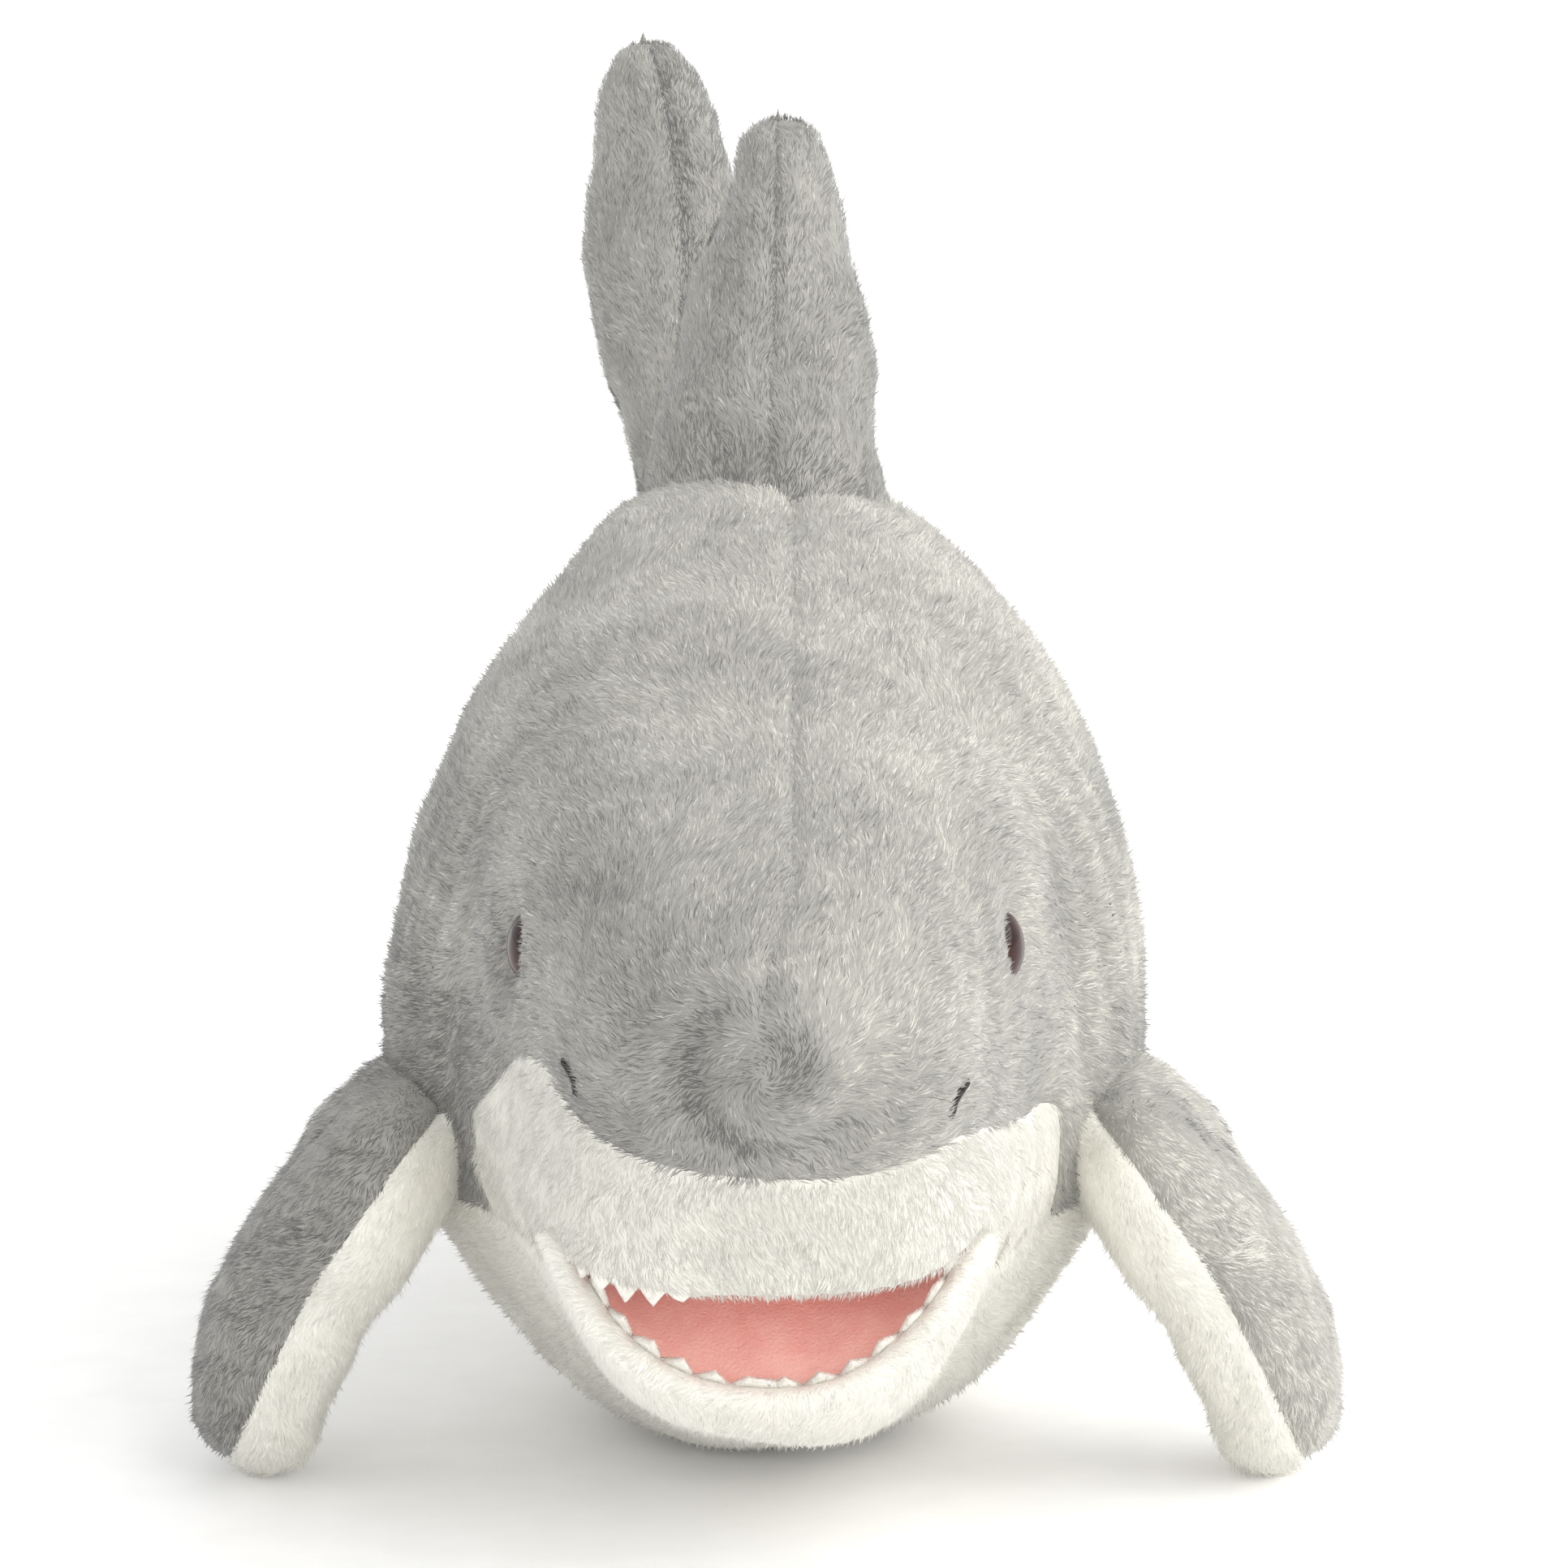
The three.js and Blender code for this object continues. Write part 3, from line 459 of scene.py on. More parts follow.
class Swelling:
    """How far the filling pushes a tube of cloth out, looked up by place and angle."""

    def __init__(self, name, surface, rings, rows, columns, seam_angles, inset):
        self.place = np.linspace(0.12, len(rings) - 1 - 0.12, rows)
        self.angle = np.linspace(0, 2 * math.pi, columns, endpoint=False)
        place, angle = np.meshgrid(self.place, self.angle, indexing="ij")
        points = surface(place, angle)
        normal = grid_normals(points)
        start = points - inset * normal
        seams = [int(round(a / (2 * math.pi) * columns)) % columns for a in seam_angles]
        moved = stuffed(name, start, seams)
        out = (moved * normal).sum(-1)
        for _ in range(3):
            out = (np.roll(out, 1, 1) + 2 * out + np.roll(out, -1, 1)) / 4
            inner = (out[:-2] + 2 * out[1:-1] + out[2:]) / 4
            out = np.concatenate([out[:1], inner, out[-1:]])
        self.out = out - out.mean()

    def at(self, place, angle):
        row = np.interp(place, self.place, np.arange(len(self.place)))
        column = (np.asarray(angle) % (2 * math.pi)) / (2 * math.pi) * len(self.angle)
        i = np.clip(row.astype(int), 0, len(self.place) - 2)
        j = column.astype(int) % len(self.angle)
        k = (j + 1) % len(self.angle)
        u, v = row - i, column - column.astype(int)
        low = self.out[i, j] * (1 - v) + self.out[i, k] * v
        high = self.out[i + 1, j] * (1 - v) + self.out[i + 1, k] * v
        return low * (1 - u) + high * u


def grid_normals(points):
    """Outward normals of a closed grid of rings."""
    ahead = np.gradient(points, axis=0)
    around = np.roll(points, -1, 1) - np.roll(points, 1, 1)
    normal = unit(np.cross(ahead, around))
    outward = points - points.mean(1, keepdims=True)
    return normal if (normal * outward).sum() > 0 else -normal


BORDER_SEAM_PHI = 1.15
BODY_SEAMS = (math.pi, BORDER_SEAM_PHI, -BORDER_SEAM_PHI)
body_swelling = Swelling("body_tube", body_surface, BODY_RINGS, 84, 64, BODY_SEAMS, INSET)


# ---------------------------------------------------------------- skins as meshes

def point_normals(points, faces):
    """The normal at each point, from the four-sided faces that meet there."""
    a, b, c, d = (points[faces[:, k]] for k in range(4))
    face_normal = np.cross(c - a, d - b)
    total = np.zeros_like(points)
    for k in range(4):
        np.add.at(total, faces[:, k], face_normal)
    return unit(total)


class Skin:
    """A sewn panel as arrays: points, faces, normals, and what its pile is like at each point."""

    def __init__(self, points, faces, flow, outward_from=None):
        self.points = points.reshape(-1, 3)
        self.faces = faces
        self.flow = flow.reshape(-1, 3)
        self.normals = point_normals(self.points, faces)
        if outward_from is not None:
            away = ((self.points - outward_from) * self.normals).sum(1).mean()
            if away < 0:
                self.faces = self.faces[:, ::-1]
                self.normals = -self.normals
        count = len(self.points)
        self.length = np.ones(count)
        self.lean = np.full(count, 1.0)
        # tone: how many shades lighter or darker the pile is, from random mottling and from painted light and
        # shade.
        self.tone = np.zeros(count)
        self.seam = np.zeros(count)


def flow_along(grid, axis):
    """Unit directions from row to row (axis 0) or from column to column (axis 1)."""
    return unit(np.gradient(grid, axis=axis))


def even_places(edge_s, edge_phi, step, first, last):
    """Places along the body so that an edge curve is cut into even steps."""
    places = place_of(edge_s)
    points = body_surface(places, edge_phi)
    walked = walked_along(points)
    from_walk, to_walk = np.interp([first, last], edge_s, walked)
    count = max(2, int(round((to_walk - from_walk) / step)))
    return np.interp(np.linspace(from_walk, to_walk, count + 1), walked, places)


def lip_edge(lip, s_end, rear_z):
    """The lip line from its middle in front back to the mouth corner, then on at one height."""
    s = np.linspace(lip[0, 0] - 12, s_end, 4000)
    z = np.where(s < JAW["s"], line_z(lip, s), rear_z)
    low = ring_at(BODY_RINGS, place_of(s))[:, 4]
    met = s >= s[np.argmax(low < z)]
    return s[met], phi_of(place_of(s[met]), z[met])


CHEEK_S = 92
TAIL_SPLIT_S = 150

border_line_s = np.linspace(4, 353, 6000)
border_line_phi = phi_of(place_of(border_line_s), border_z(border_line_s))
upper_s, upper_phi = lip_edge(UPPER_LIP, CHEEK_S, JAW["z"])
lower_s, lower_phi = lip_edge(LOWER_LIP, CHEEK_S, JAW["z"])
WHITE_S = float(border_line_s[np.argmax(border_line_phi > 0)])


def grey_rows():
    nose = np.linspace(0, place_of(WHITE_S), 24)[:-1]
    return np.concatenate([nose, even_places(border_line_s, border_line_phi, CELL, WHITE_S, 353)])


def back_skin(side):
    places = grey_rows()
    s = s_of(places)
    low = np.where(s < WHITE_S, 0, phi_of(places, border_z(s)))
    seam = seam_phi(s, places)
    high = seam if side > 0 else 2 * math.pi - seam
    columns = 84
    across = np.linspace(0, 1, columns)
    phi = side * (low[:, None] + (high - low)[:, None] * across)
    phi -= crooked(s)[:, None] * (1 - smooth(0, 0.6, across))
    place = np.repeat(places[:, None], columns, 1)
    points = body_skin(place, phi)
    skin = Skin(points, grid_faces(*place.shape), flow_along(points, 0), (0, 160, 80))
    plain = body_surface(place, phi)
    grey_details(skin, plain, place.reshape(-1), phi.reshape(-1))
    return skin


def grey_details(skin, plain, place, phi):
    """Short pile by seams and eyes, the whorl on the nose, and painted light and shade in the pile's tones.
    """
    x, s, z = plain.reshape(-1, 3).T
    side = np.sign(x)
    from_seam = seam_distance(s, place, phi)
    eye = np.sqrt((x - side * EYE["x"]) ** 2 + (s - EYE["s"]) ** 2 + (z - EYE["z"]) ** 2)
    nostril = from_nostril(x, s, z)
    nose = np.sqrt((x - NOSE_PILE["x"]) ** 2 + (z - NOSE_PILE["z"]) ** 2 + s ** 2)
    skin.length *= 1 - 0.35 * bump(from_seam, 2.0) * (z > 90)
    skin.length *= 1 - 0.4 * bump(eye, 8)
    skin.length *= 1 - 0.3 * bump(nostril, 5)
    skin.length *= 1 - 0.25 * bump(nose, 16)
    whorl = np.sqrt((x - WHORL["x"]) ** 2 + (z - WHORL["z"]) ** 2 + (0.3 * s) ** 2)
    painted_shade_below_nose = 0.5 - 0.5 * unit(np.stack([x - NOSE_PILE["x"], z - NOSE_PILE["z"]], -1)) @ (0.9, 0.4)
    # Painted shade: darker over the nose, in the whorl where the pile parts, and in a crescent below the nose
    # bump on the shark's right, its side away from the key lamp.
    skin.tone += -0.5 * bump(nose, 26) - 5.0 * bump(whorl, 5.2) - 3.4 * painted_shade_below_nose * bump(nose - 13, 3)
    # Painted shade in the dents of the nostrils and eyes.
    skin.tone += -0.5 * bump(nostril, 8) - 0.3 * bump(eye, 8)
    # Painted shade in the dimple of the nape, where the pile is also shorter.
    nape = np.hypot(x - NAPE["x"], s - NAPE["s"]) + FAR * (z < NAPE["lowest"])
    skin.tone += -0.9 * bump(nape, 4.5)
    skin.length *= 1 - 0.4 * bump(nape, 5)
    # Painted shade along the back seam, where it is pulled in.
    skin.tone += -0.35 * bump(from_seam, 1.2) * (z > 90)
    # Painted light and shade: darker low on the sides from behind the mouth backwards, lighter at the front
    # of the shark's left side and on top, darker low on its right flank, and lighter across towards its left,
    # the side the key lamp is on.
    skin.tone += -0.8 * smooth(105, 60, z) * smooth(60, 100, s) + 0.35 * smooth(25, -55, s - x)
    skin.tone += 0.7 * smooth(115, 140, z) - 0.9 * smooth(-35, -55, x) * smooth(110, 80, z)
    skin.tone += 1.2 * smooth(-60, 60, x) - 0.75
    # Painted shade in the gill tucks, with painted light on the ridges between them.
    skin.tone -= 0.5 * gill_groove(s, z)
    skin.length *= 1 - 0.25 * np.maximum(gill_groove(s, z), 0)
    skin.tone += 0.35 * waves(skin.points * (1, 0.7, 1), 26, 24)
    swirl = 1.35 * bump(nose, 15)
    turn_flow(skin, swirl + 0.30 * waves(skin.points, 40, 21))


def turned_about(normals, flow, angle):
    sideways = np.cross(normals, flow)
    return flow * np.cos(angle)[:, None] + sideways * np.sin(angle)[:, None]


def turn_flow(skin, angle):
    """Turns the lay of the pile about the normal by an angle at each point."""
    skin.flow = unit(turned_about(skin.normals, skin.flow, angle))


def lip_radius(s):
    """How wide a lip is rolled in, which fades out at the mouth corner."""
    return (LIP_ROLL * (1 - smooth(JAW["s"] - 6, JAW["s"] + 2, s)))[:, None]


def roll_rows(edge, towards, normal, radius):
    """Rows of points that roll a lip inwards from its edge."""
    rows = []
    for k in range(1, LIP_ROLL_ROWS + 1):
        angle = LIP_ROLL_TURN * k / LIP_ROLL_ROWS
        rows.append(edge + radius * (math.sin(angle) * towards - (1 - math.cos(angle)) * normal))
    return rows


def muzzle_skin():
    """The white muzzle: a band from cheek to cheek round the front, between border and upper lip."""
    columns = 150
    rows = 18
    half = columns // 2
    lip_places, lip_phi = even_edge(upper_s, upper_phi, half)
    top = (border_line_s >= WHITE_S) & (border_line_s <= CHEEK_S)
    top_places, top_phi = even_edge(border_line_s[top], border_line_phi[top], half)
    across = np.linspace(0, 1, rows)[:, None]
    place = top_places + (lip_places - top_places) * across
    phi = top_phi + (lip_phi - top_phi) * across
    place = np.hstack([place[:, :0:-1], place])
    phi = np.hstack([-phi[:, :0:-1], phi])
    phi -= crooked(s_of(place[0])) * (1 - across)
    points = body_skin(place, phi)
    normal = body_normal(place[-1], phi[-1])
    towards = unit(points[-1] - points[-2])
    rolled = roll_rows(points[-1], towards, normal, lip_radius(s_of(place[-1])))
    points = np.concatenate([points, np.array(rolled)])
    skin = Skin(points, grid_faces(*points.shape[:2]), flow_along(points, 0), (0, 70, 75))
    turn_flow(skin, 0.25 * waves(skin.points, 30, 22))
    skin.length *= 0.9
    # Painted shade: the whole muzzle is darker, as if shaded by the nose above it, a little less so on the
    # shark's right.
    skin.tone -= 1.9 - 0.3 * smooth(10, -30, skin.points[:, 0])
    return skin


def even_edge(s, phi, steps):
    """An edge curve as places and angles at even steps."""
    places = place_of(s)
    points = body_surface(places, phi)
    walked = walked_along(points)
    even = np.linspace(0, walked[-1], steps + 1)
    return np.interp(even, walked, places), np.interp(even, walked, phi)


def belly_skin(places, top_phi, columns, front):
    """White skin under the shark, up to an angle on each side. front rolls the lower lip."""
    across = np.linspace(-1, 1, columns)
    phi = top_phi[:, None] * across
    place = np.repeat(places[:, None], columns, 1)
    points = body_skin(place, phi)
    if front:
        points = with_lower_lip(points, place, phi)
    turn_over = np.linspace(-1, 1, points.shape[1])
    down = -(np.sign(turn_over) * smooth(0, 0.5, np.abs(turn_over)))[None, :, None] * flow_along(points, 1)
    back = flow_along(points, 0)
    mix = smooth(70, 110, points[..., 1])[..., None]
    flow = unit(down * (1 - mix) * 0.9 + back * (0.35 + mix))
    skin = Skin(points, grid_faces(*points.shape[:2]), flow, (0, 200, 80) if not front else (0, 90, 60))
    turn_flow(skin, 0.25 * waves(skin.points, 34, 23))
    skin.lean += 0.55 * smooth(6, 1.5, skin.points[:, 2])
    # Painted light: the white is lighter on the shark's right towards the front, as if lit by light bounced
    # onto its shaded side.
    skin.tone += 1.2 * smooth(10, -30, skin.points[:, 0]) * smooth(115, 70, skin.points[:, 1])
    skin.length *= 0.92
    return skin


def with_lower_lip(points, place, phi):
    """The rows' ends rolled in over the edge of the lower lip, as far back as the mouth corner."""
    radius = lip_radius(s_of(place[:, 0]))
    ends = []
    for edge in (0, -1):
        normal = body_normal(place[:, edge], phi[:, edge])
        towards = unit(np.cross(normal, np.gradient(points[:, edge], axis=0)))
        towards *= np.sign(towards[:, 2:])
        ends.append(roll_rows(points[:, edge], towards, normal, radius))
    right = np.stack(ends[0][::-1], 1)
    left = np.stack(ends[1], 1)
    return np.concatenate([right, points, left], 1)


def jaw_skin():
    front = even_places(lower_s, lower_phi, CELL * 0.8, lower_s[0] + 0.02, JAW["s"])
    middle = place_of(np.linspace(JAW["s"], CHEEK_S, 17)[1:])
    rear = place_of(np.linspace(CHEEK_S, TAIL_SPLIT_S, 30)[1:])
    places = np.concatenate([front, middle, rear])
    s = s_of(places)
    z = np.where(s < JAW["s"], line_z(LOWER_LIP, s), np.where(s < CHEEK_S, JAW["z"], border_z(s)))
    top_phi = phi_of(places, z)
    top_phi[0] = 0
    return belly_skin(places, top_phi, 90, True)


def tail_belly_skin():
    places = even_places(border_line_s, border_line_phi, CELL, TAIL_SPLIT_S, 353)
    s = s_of(places)
    return belly_skin(places, phi_of(places, border_z(s)), 72, False)


# ---------------------------------------------------------------- fins

def fin_section(chord, thick, angle):
    """How far across and back a point of a fin's section lies. It is thinner towards the back edge."""
    back = np.cos(angle)
    slim = 1 - 0.25 * (back + 1) / 2
    return thick * np.sin(angle) * slim, chord * back


def upright_surface(rings, place, angle):
    s, z, chord, thick = np.moveaxis(ring_at(rings, place), -1, 0)
    across, back = fin_section(chord, thick, angle)
    return np.stack([across, s + back, z], -1)


def turned_about_y(points, centre, degrees):
    angle = math.radians(degrees)
    moved = points - centre
    x = moved[..., 0] * math.cos(angle) + moved[..., 2] * math.sin(angle)
    z = -moved[..., 0] * math.sin(angle) + moved[..., 2] * math.cos(angle)
    return np.stack([x, moved[..., 1], z], -1) + centre


def dorsal_surface(place, angle):
    points = upright_surface(DORSAL_RINGS, place, angle)
    return turned_about_y(points, (0, DORSAL["s"], DORSAL["z"]), DORSAL["lean"])


def caudal_surface(place, angle):
    points = upright_surface(CAUDAL_RINGS, place, angle)
    points[..., 0] += sideways_at(points[..., 1])
    return points


def pectoral_surface(place, angle):
    """The left fin: in its own frame span is +Z and the underside faces +X."""
    span, sweep, bow, chord, thick = np.moveaxis(ring_at(PECTORAL_RINGS, place), -1, 0)
    across, back = fin_section(chord, thick, angle)
    flat = np.stack([across - bow, sweep + back, span], -1)
    turned = turned_about_y(flat, (0, 0, 0), 90 + PECTORAL["droop"])
    return turned + (PECTORAL["x"], PECTORAL["s"], PECTORAL["z"])


def fin_skin(surface, swelling, rings, first_angle, rows, columns, seed, root_at_start=True):
    """One side of a fin, from one of its two seams to the other."""
    last = len(rings) - 1
    across = np.linspace(0, 1, columns)
    place = np.linspace(0, last, rows)[:, None] + np.zeros((1, columns))
    angle = first_angle + math.pi * across[None, :] + np.zeros((rows, 1))
    normal = unit(across_surface(surface, rings, place, angle))
    points = surface(place, angle)
    rear = surface(place, angle * 0).mean(1, keepdims=True)
    front = surface(place, angle * 0 + math.pi).mean(1, keepdims=True)
    centre = rear / 2 + front / 2
    if ((points - centre) * normal).sum() < 0:
        normal = -normal
    tip = np.minimum(place, last - place)
    ends = smooth(0, 0.8, tip)
    edge = np.minimum(across, 1 - across)[None, :] * math.pi
    seam = bump(edge, 0.09)
    puff = 0.8 * waves(points, 34, seed) + 0.3 * waves(points, 12, seed + 1)
    puff += 0.7 * swelling.at(place, angle)
    inset = FIN_INSET * (1.9 - 0.9 * ends) - puff * ends + 0.9 * seam * ends
    points = points - normal * inset[..., None]
    flow = flow_along(points, 0) * (1 if root_at_start else -1)
    skin = Skin(points, grid_faces(rows, columns), flow)
    agree = (skin.normals * normal.reshape(-1, 3)).sum()
    if agree < 0:
        skin.faces = skin.faces[:, ::-1]
        skin.normals = -skin.normals
    skin.length *= 1 - 0.35 * bump(edge, 0.10).repeat(rows, 0).reshape(-1)
    skin.length *= 0.92 * (0.08 + 0.92 * smooth(0, 0.7, tip)).reshape(-1)
    skin.seam = seam.repeat(rows, 0).reshape(-1)
    turn_flow(skin, 0.3 * waves(skin.points, 26, seed + 2))
    return skin


FIN_SEAMS = (0, math.pi)
dorsal_swelling = Swelling("dorsal_tube", dorsal_surface, DORSAL_RINGS, 34, 32, FIN_SEAMS, FIN_INSET)
caudal_swelling = Swelling("caudal_tube", caudal_surface, CAUDAL_RINGS, 60, 28, FIN_SEAMS, FIN_INSET)
pectoral_swelling = Swelling("pectoral_tube", pectoral_surface, PECTORAL_RINGS, 32, 30, FIN_SEAMS, FIN_INSET)


def mirrored(skin):
    copy = Skin(skin.points * (-1, 1, 1), skin.faces[:, ::-1], skin.flow * (-1, 1, 1))
    copy.length, copy.lean, copy.tone = skin.length, skin.lean, skin.tone
    return copy


# ---------------------------------------------------------------- materials

def new_material(name, colour, roughness, sheen=0.0, specular=0.3):
    material = bpy.data.materials.new(name)
    material.use_nodes = True
    shader = material.node_tree.nodes["Principled BSDF"]
    shader.inputs["Base Color"].default_value = (*linear(colour), 1)
    shader.inputs["Roughness"].default_value = roughness
    shader.inputs["Specular IOR Level"].default_value = specular
    shader.inputs["Sheen Weight"].default_value = sheen
    shader.inputs["Sheen Roughness"].default_value = 0.4
    return material, shader


def linear(colour):
    """sRGB 0..255 to the linear values that a shader takes."""
    c = np.array(colour, float) / 255
    return tuple(np.where(c <= 0.04045, c / 12.92, ((c + 0.055) / 1.055) ** 2.4))


def add_noise(material, scale, detail):
    nodes = material.node_tree.nodes
    place = nodes.new("ShaderNodeTexCoord")
    texture = nodes.new("ShaderNodeTexNoise")
    texture.inputs["Scale"].default_value = scale
    texture.inputs["Detail"].default_value = detail
    material.node_tree.links.new(place.outputs["Object"], texture.inputs["Vector"])
    return texture.outputs["Fac"]


def add_colour_ramp(material, shader, value, dark, light):
    nodes = material.node_tree.nodes
    links = material.node_tree.links
    ramp = nodes.new("ShaderNodeValToRGB")
    ramp.color_ramp.elements[0].position = 0.35
    ramp.color_ramp.elements[0].color = (*linear(dark), 1)
    ramp.color_ramp.elements[1].position = 0.65
    ramp.color_ramp.elements[1].color = (*linear(light), 1)
    links.new(value, ramp.inputs["Fac"])
    links.new(ramp.outputs["Color"], shader.inputs["Base Color"])


def add_bump(material, shader, value, strength, distance):
    nodes = material.node_tree.nodes
    links = material.node_tree.links
    node = nodes.new("ShaderNodeBump")
    node.inputs["Strength"].default_value = strength
    node.inputs["Distance"].default_value = distance
    links.new(value, node.inputs["Height"])
    links.new(node.outputs["Normal"], shader.inputs["Normal"])


def cloth_material(name, dark, light, mottle=60, grain=2600, strength=0.5, roughness=0.9, sheen=0.3):
    """Cloth with brushed mottling and a fine nap."""
    material, shader = new_material(name, light, roughness, sheen)
    clouds = add_noise(material, mottle, 6)
    add_colour_ramp(material, shader, clouds, dark, light)
    nap = add_noise(material, grain, 3)
    add_bump(material, shader, nap, strength, 0.0006)
    return material


# Fibre colours from dark to light: the pile picks among them by random mottling and by painted light and
# shade.
GREY_SHADES = [
    (98, 97, 95), (111, 110, 108), (124, 123, 120), (136, 135, 131), (147, 146, 141), (157, 156, 150),
    (167, 165, 158), (178, 176, 168), (191, 189, 181), (205, 203, 195),
]
WHITE_SHADES = [
    (185, 183, 175), (194, 192, 184), (203, 201, 193), (212, 210, 202), (221, 219, 210), (230, 228, 219),
    (239, 237, 229),
]
WHITE_TONE = 0.55    # white pile starts above the middle of its shades


def pile_materials(name, shades):
    """A plain colour for each shade of fibre: the pattern is in how the fibres are mixed."""
    made = []
    for k, colour in enumerate(shades):
        material, _ = new_material(f"{name}_fibre_{k + 1}", colour, 0.6, 0.2, 0.25)
        made.append(material)
    return made


grey_cloth = cloth_material("grey_plush_backing", (138, 137, 133), (160, 159, 153))
white_cloth = cloth_material("white_plush_backing", (210, 208, 199), (228, 226, 217))
grey_pile = pile_materials("grey", GREY_SHADES)
white_pile = pile_materials("white", WHITE_SHADES)
pink_cloth = cloth_material("pink_brushed_cloth", (248, 190, 180), (253, 204, 194), 220, 1800, 0.6, 0.8, 0.4)
white_felt = cloth_material("white_tooth_felt", (228, 224, 214), (250, 248, 241), 400, 2200, 0.8, 0.95, 0.3)
dark_thread = cloth_material("dark_thread", (34, 30, 29), (58, 54, 52), 900, 4000, 0.6, 0.6, 0.1)
grey_thread = cloth_material("grey_thread", (96, 95, 92), (132, 131, 127), 900, 4000, 0.6, 0.7, 0.1)
white_thread = cloth_material("white_thread", (205, 202, 192), (236, 233, 224), 900, 4000, 0.6, 0.7, 0.1)


def eye_material():
    material, shader = new_material("eye_plastic", (40, 12, 9), 0.12, 0, 0.3)
    clouds = add_noise(material, 260, 3)
    add_colour_ramp(material, shader, clouds, (24, 8, 7), (58, 17, 12))
    return material


def plastic_material():
    material, shader = new_material("washer_plastic", (232, 230, 224), 0.5)
    grain = add_noise(material, 700, 2)
    add_bump(material, shader, grain, 0.15, 0.0003)
    return material


eye_plastic = eye_material()
washer_plastic = plastic_material()


# ---------------------------------------------------------------- pieces

def skin_piece(name, skin, material):
    """The backing cloth of a panel, without the faces that a pinched row makes empty."""
    a, b, c, d = (skin.points[skin.faces[:, k]] for k in range(4))
    area = np.linalg.norm(np.cross(c - a, d - b), axis=1)
    piece = add_mesh(name, to_row(skin.points), skin.faces[area > 1e-4], [material])
    weld(piece)
    return piece


def weld(piece):
    work = bmesh.new()
    work.from_mesh(piece.data)
    bmesh.ops.remove_doubles(work, verts=work.verts, dist=1e-6)
    bmesh.ops.dissolve_degenerate(work, edges=work.edges, dist=1e-7)
    bmesh.ops.recalc_face_normals(work, faces=work.faces)
    work.to_mesh(piece.data)
    work.free()
    piece.data.shade_smooth()


def sample_skin(skin, per_mm2, rng):
    """Random places on a skin, evenly spread by area. Returns what reads a value of the skin there."""
    triangles = np.vstack([skin.faces[:, [0, 1, 2]], skin.faces[:, [0, 2, 3]]])
    a, b, c = (skin.points[triangles[:, k]] for k in range(3))
    area = np.linalg.norm(np.cross(b - a, c - a), axis=1) / 2
    count = int(area.sum() * per_mm2)
    chosen = triangles[rng.choice(len(triangles), count, p=area / area.sum())]
    u, v = rng.random(count), rng.random(count)
    flip = u + v > 1
    u, v = np.where(flip, 1 - u, u), np.where(flip, 1 - v, v)
    weights = np.stack([1 - u - v, u, v], 1)

    def at_places(values):
        return np.einsum("nk,nk...->n...", weights, values[chosen])

    return at_places


def grow_pile(name, skin, materials, seed):
    """The pile of a panel, as one or more pieces: slim bent fibres of two triangles each."""
    rng = np.random.default_rng(seed)
    there = sample_skin(skin, PILE_PER_MM2, rng)
    root = there(skin.points)
    normal = unit(there(skin.normals))
    flow = there(skin.flow)
    flow = unit(flow - normal * (flow * normal).sum(1, keepdims=True))
    count = len(root)

    lay = waves(root, 9, seed + 1)
    clump = waves(root, 3.2, seed + 2)
    turn = 0.18 * lay + 0.20 * clump + rng.normal(0, 0.18, count)
    flow = turned_about(normal, flow, turn)
    sideways = np.cross(normal, flow)

    standing = 0.5 * (rng.random(count) < 0.07)
    lean = 1.2 - standing + 0.03 * lay + 0.04 * clump + rng.normal(0, 0.06, count)
    lean += there(skin.lean) - 1
    tall = (PILE_LENGTH * there(skin.length) * rng.uniform(0.75, 1.15, count))[:, None]
    low_lean = np.clip(lean - 0.13, 0.05, 1.4)[:, None]
    high_lean = np.clip(lean + 0.13, 0.2, 1.52)[:, None]
    width = PILE_WIDTH * rng.uniform(0.75, 1.3, count)[:, None]
    middle = root + tall / 2 * (normal * np.cos(low_lean) + flow * np.sin(low_lean))
    tip = middle + tall / 2 * (normal * np.cos(high_lean) + flow * np.sin(high_lean))
    points = np.stack([root, middle - sideways * width / 2, middle + sideways * width / 2, tip], 1)
    points[..., 2] = np.maximum(points[..., 2], 0.15)
    soft = unit(normal + 0.15 * flow + rng.normal(0, 0.07, (count, 3)))

    last = len(materials) - 1
    patches = 0.22 * waves(root, 22, seed + 3) + 0.2 * lay + 0.25 * clump
    tone = 0.5 * last + 1.6 * there(skin.tone) + last / 6 * (patches + rng.normal(0, 1.05, count))
    # Painted highlights: one fibre in twenty is two shades lighter, as glints.
    shade = np.round(tone + 2 * (rng.random(count) < 0.05))
    shade = np.clip(shade, 0, last).astype(int)

    parts = math.ceil(count / FIBRES_IN_A_PIECE)
    made = []
    for part in range(parts):
        chosen = slice(part, None, parts)
        number = len(shade[chosen])
        start = np.arange(number)[:, None] * 4
        faces = np.stack([start + [0, 1, 2], start + [1, 3, 2]], 1).reshape(-1, 3)
        tuft = add_mesh(f"{name}_{part + 1}", to_row(points[chosen].reshape(-1, 3)), faces, materials,
                        np.repeat(shade[chosen], 2))
        tuft.visible_shadow = False
        tuft.visible_diffuse = False
        tuft.data.normals_split_custom_set_from_vertices(np.repeat(soft[chosen], 4, 0))
        made.append(tuft)
    return made


# ---------------------------------------------------------------- build the plush

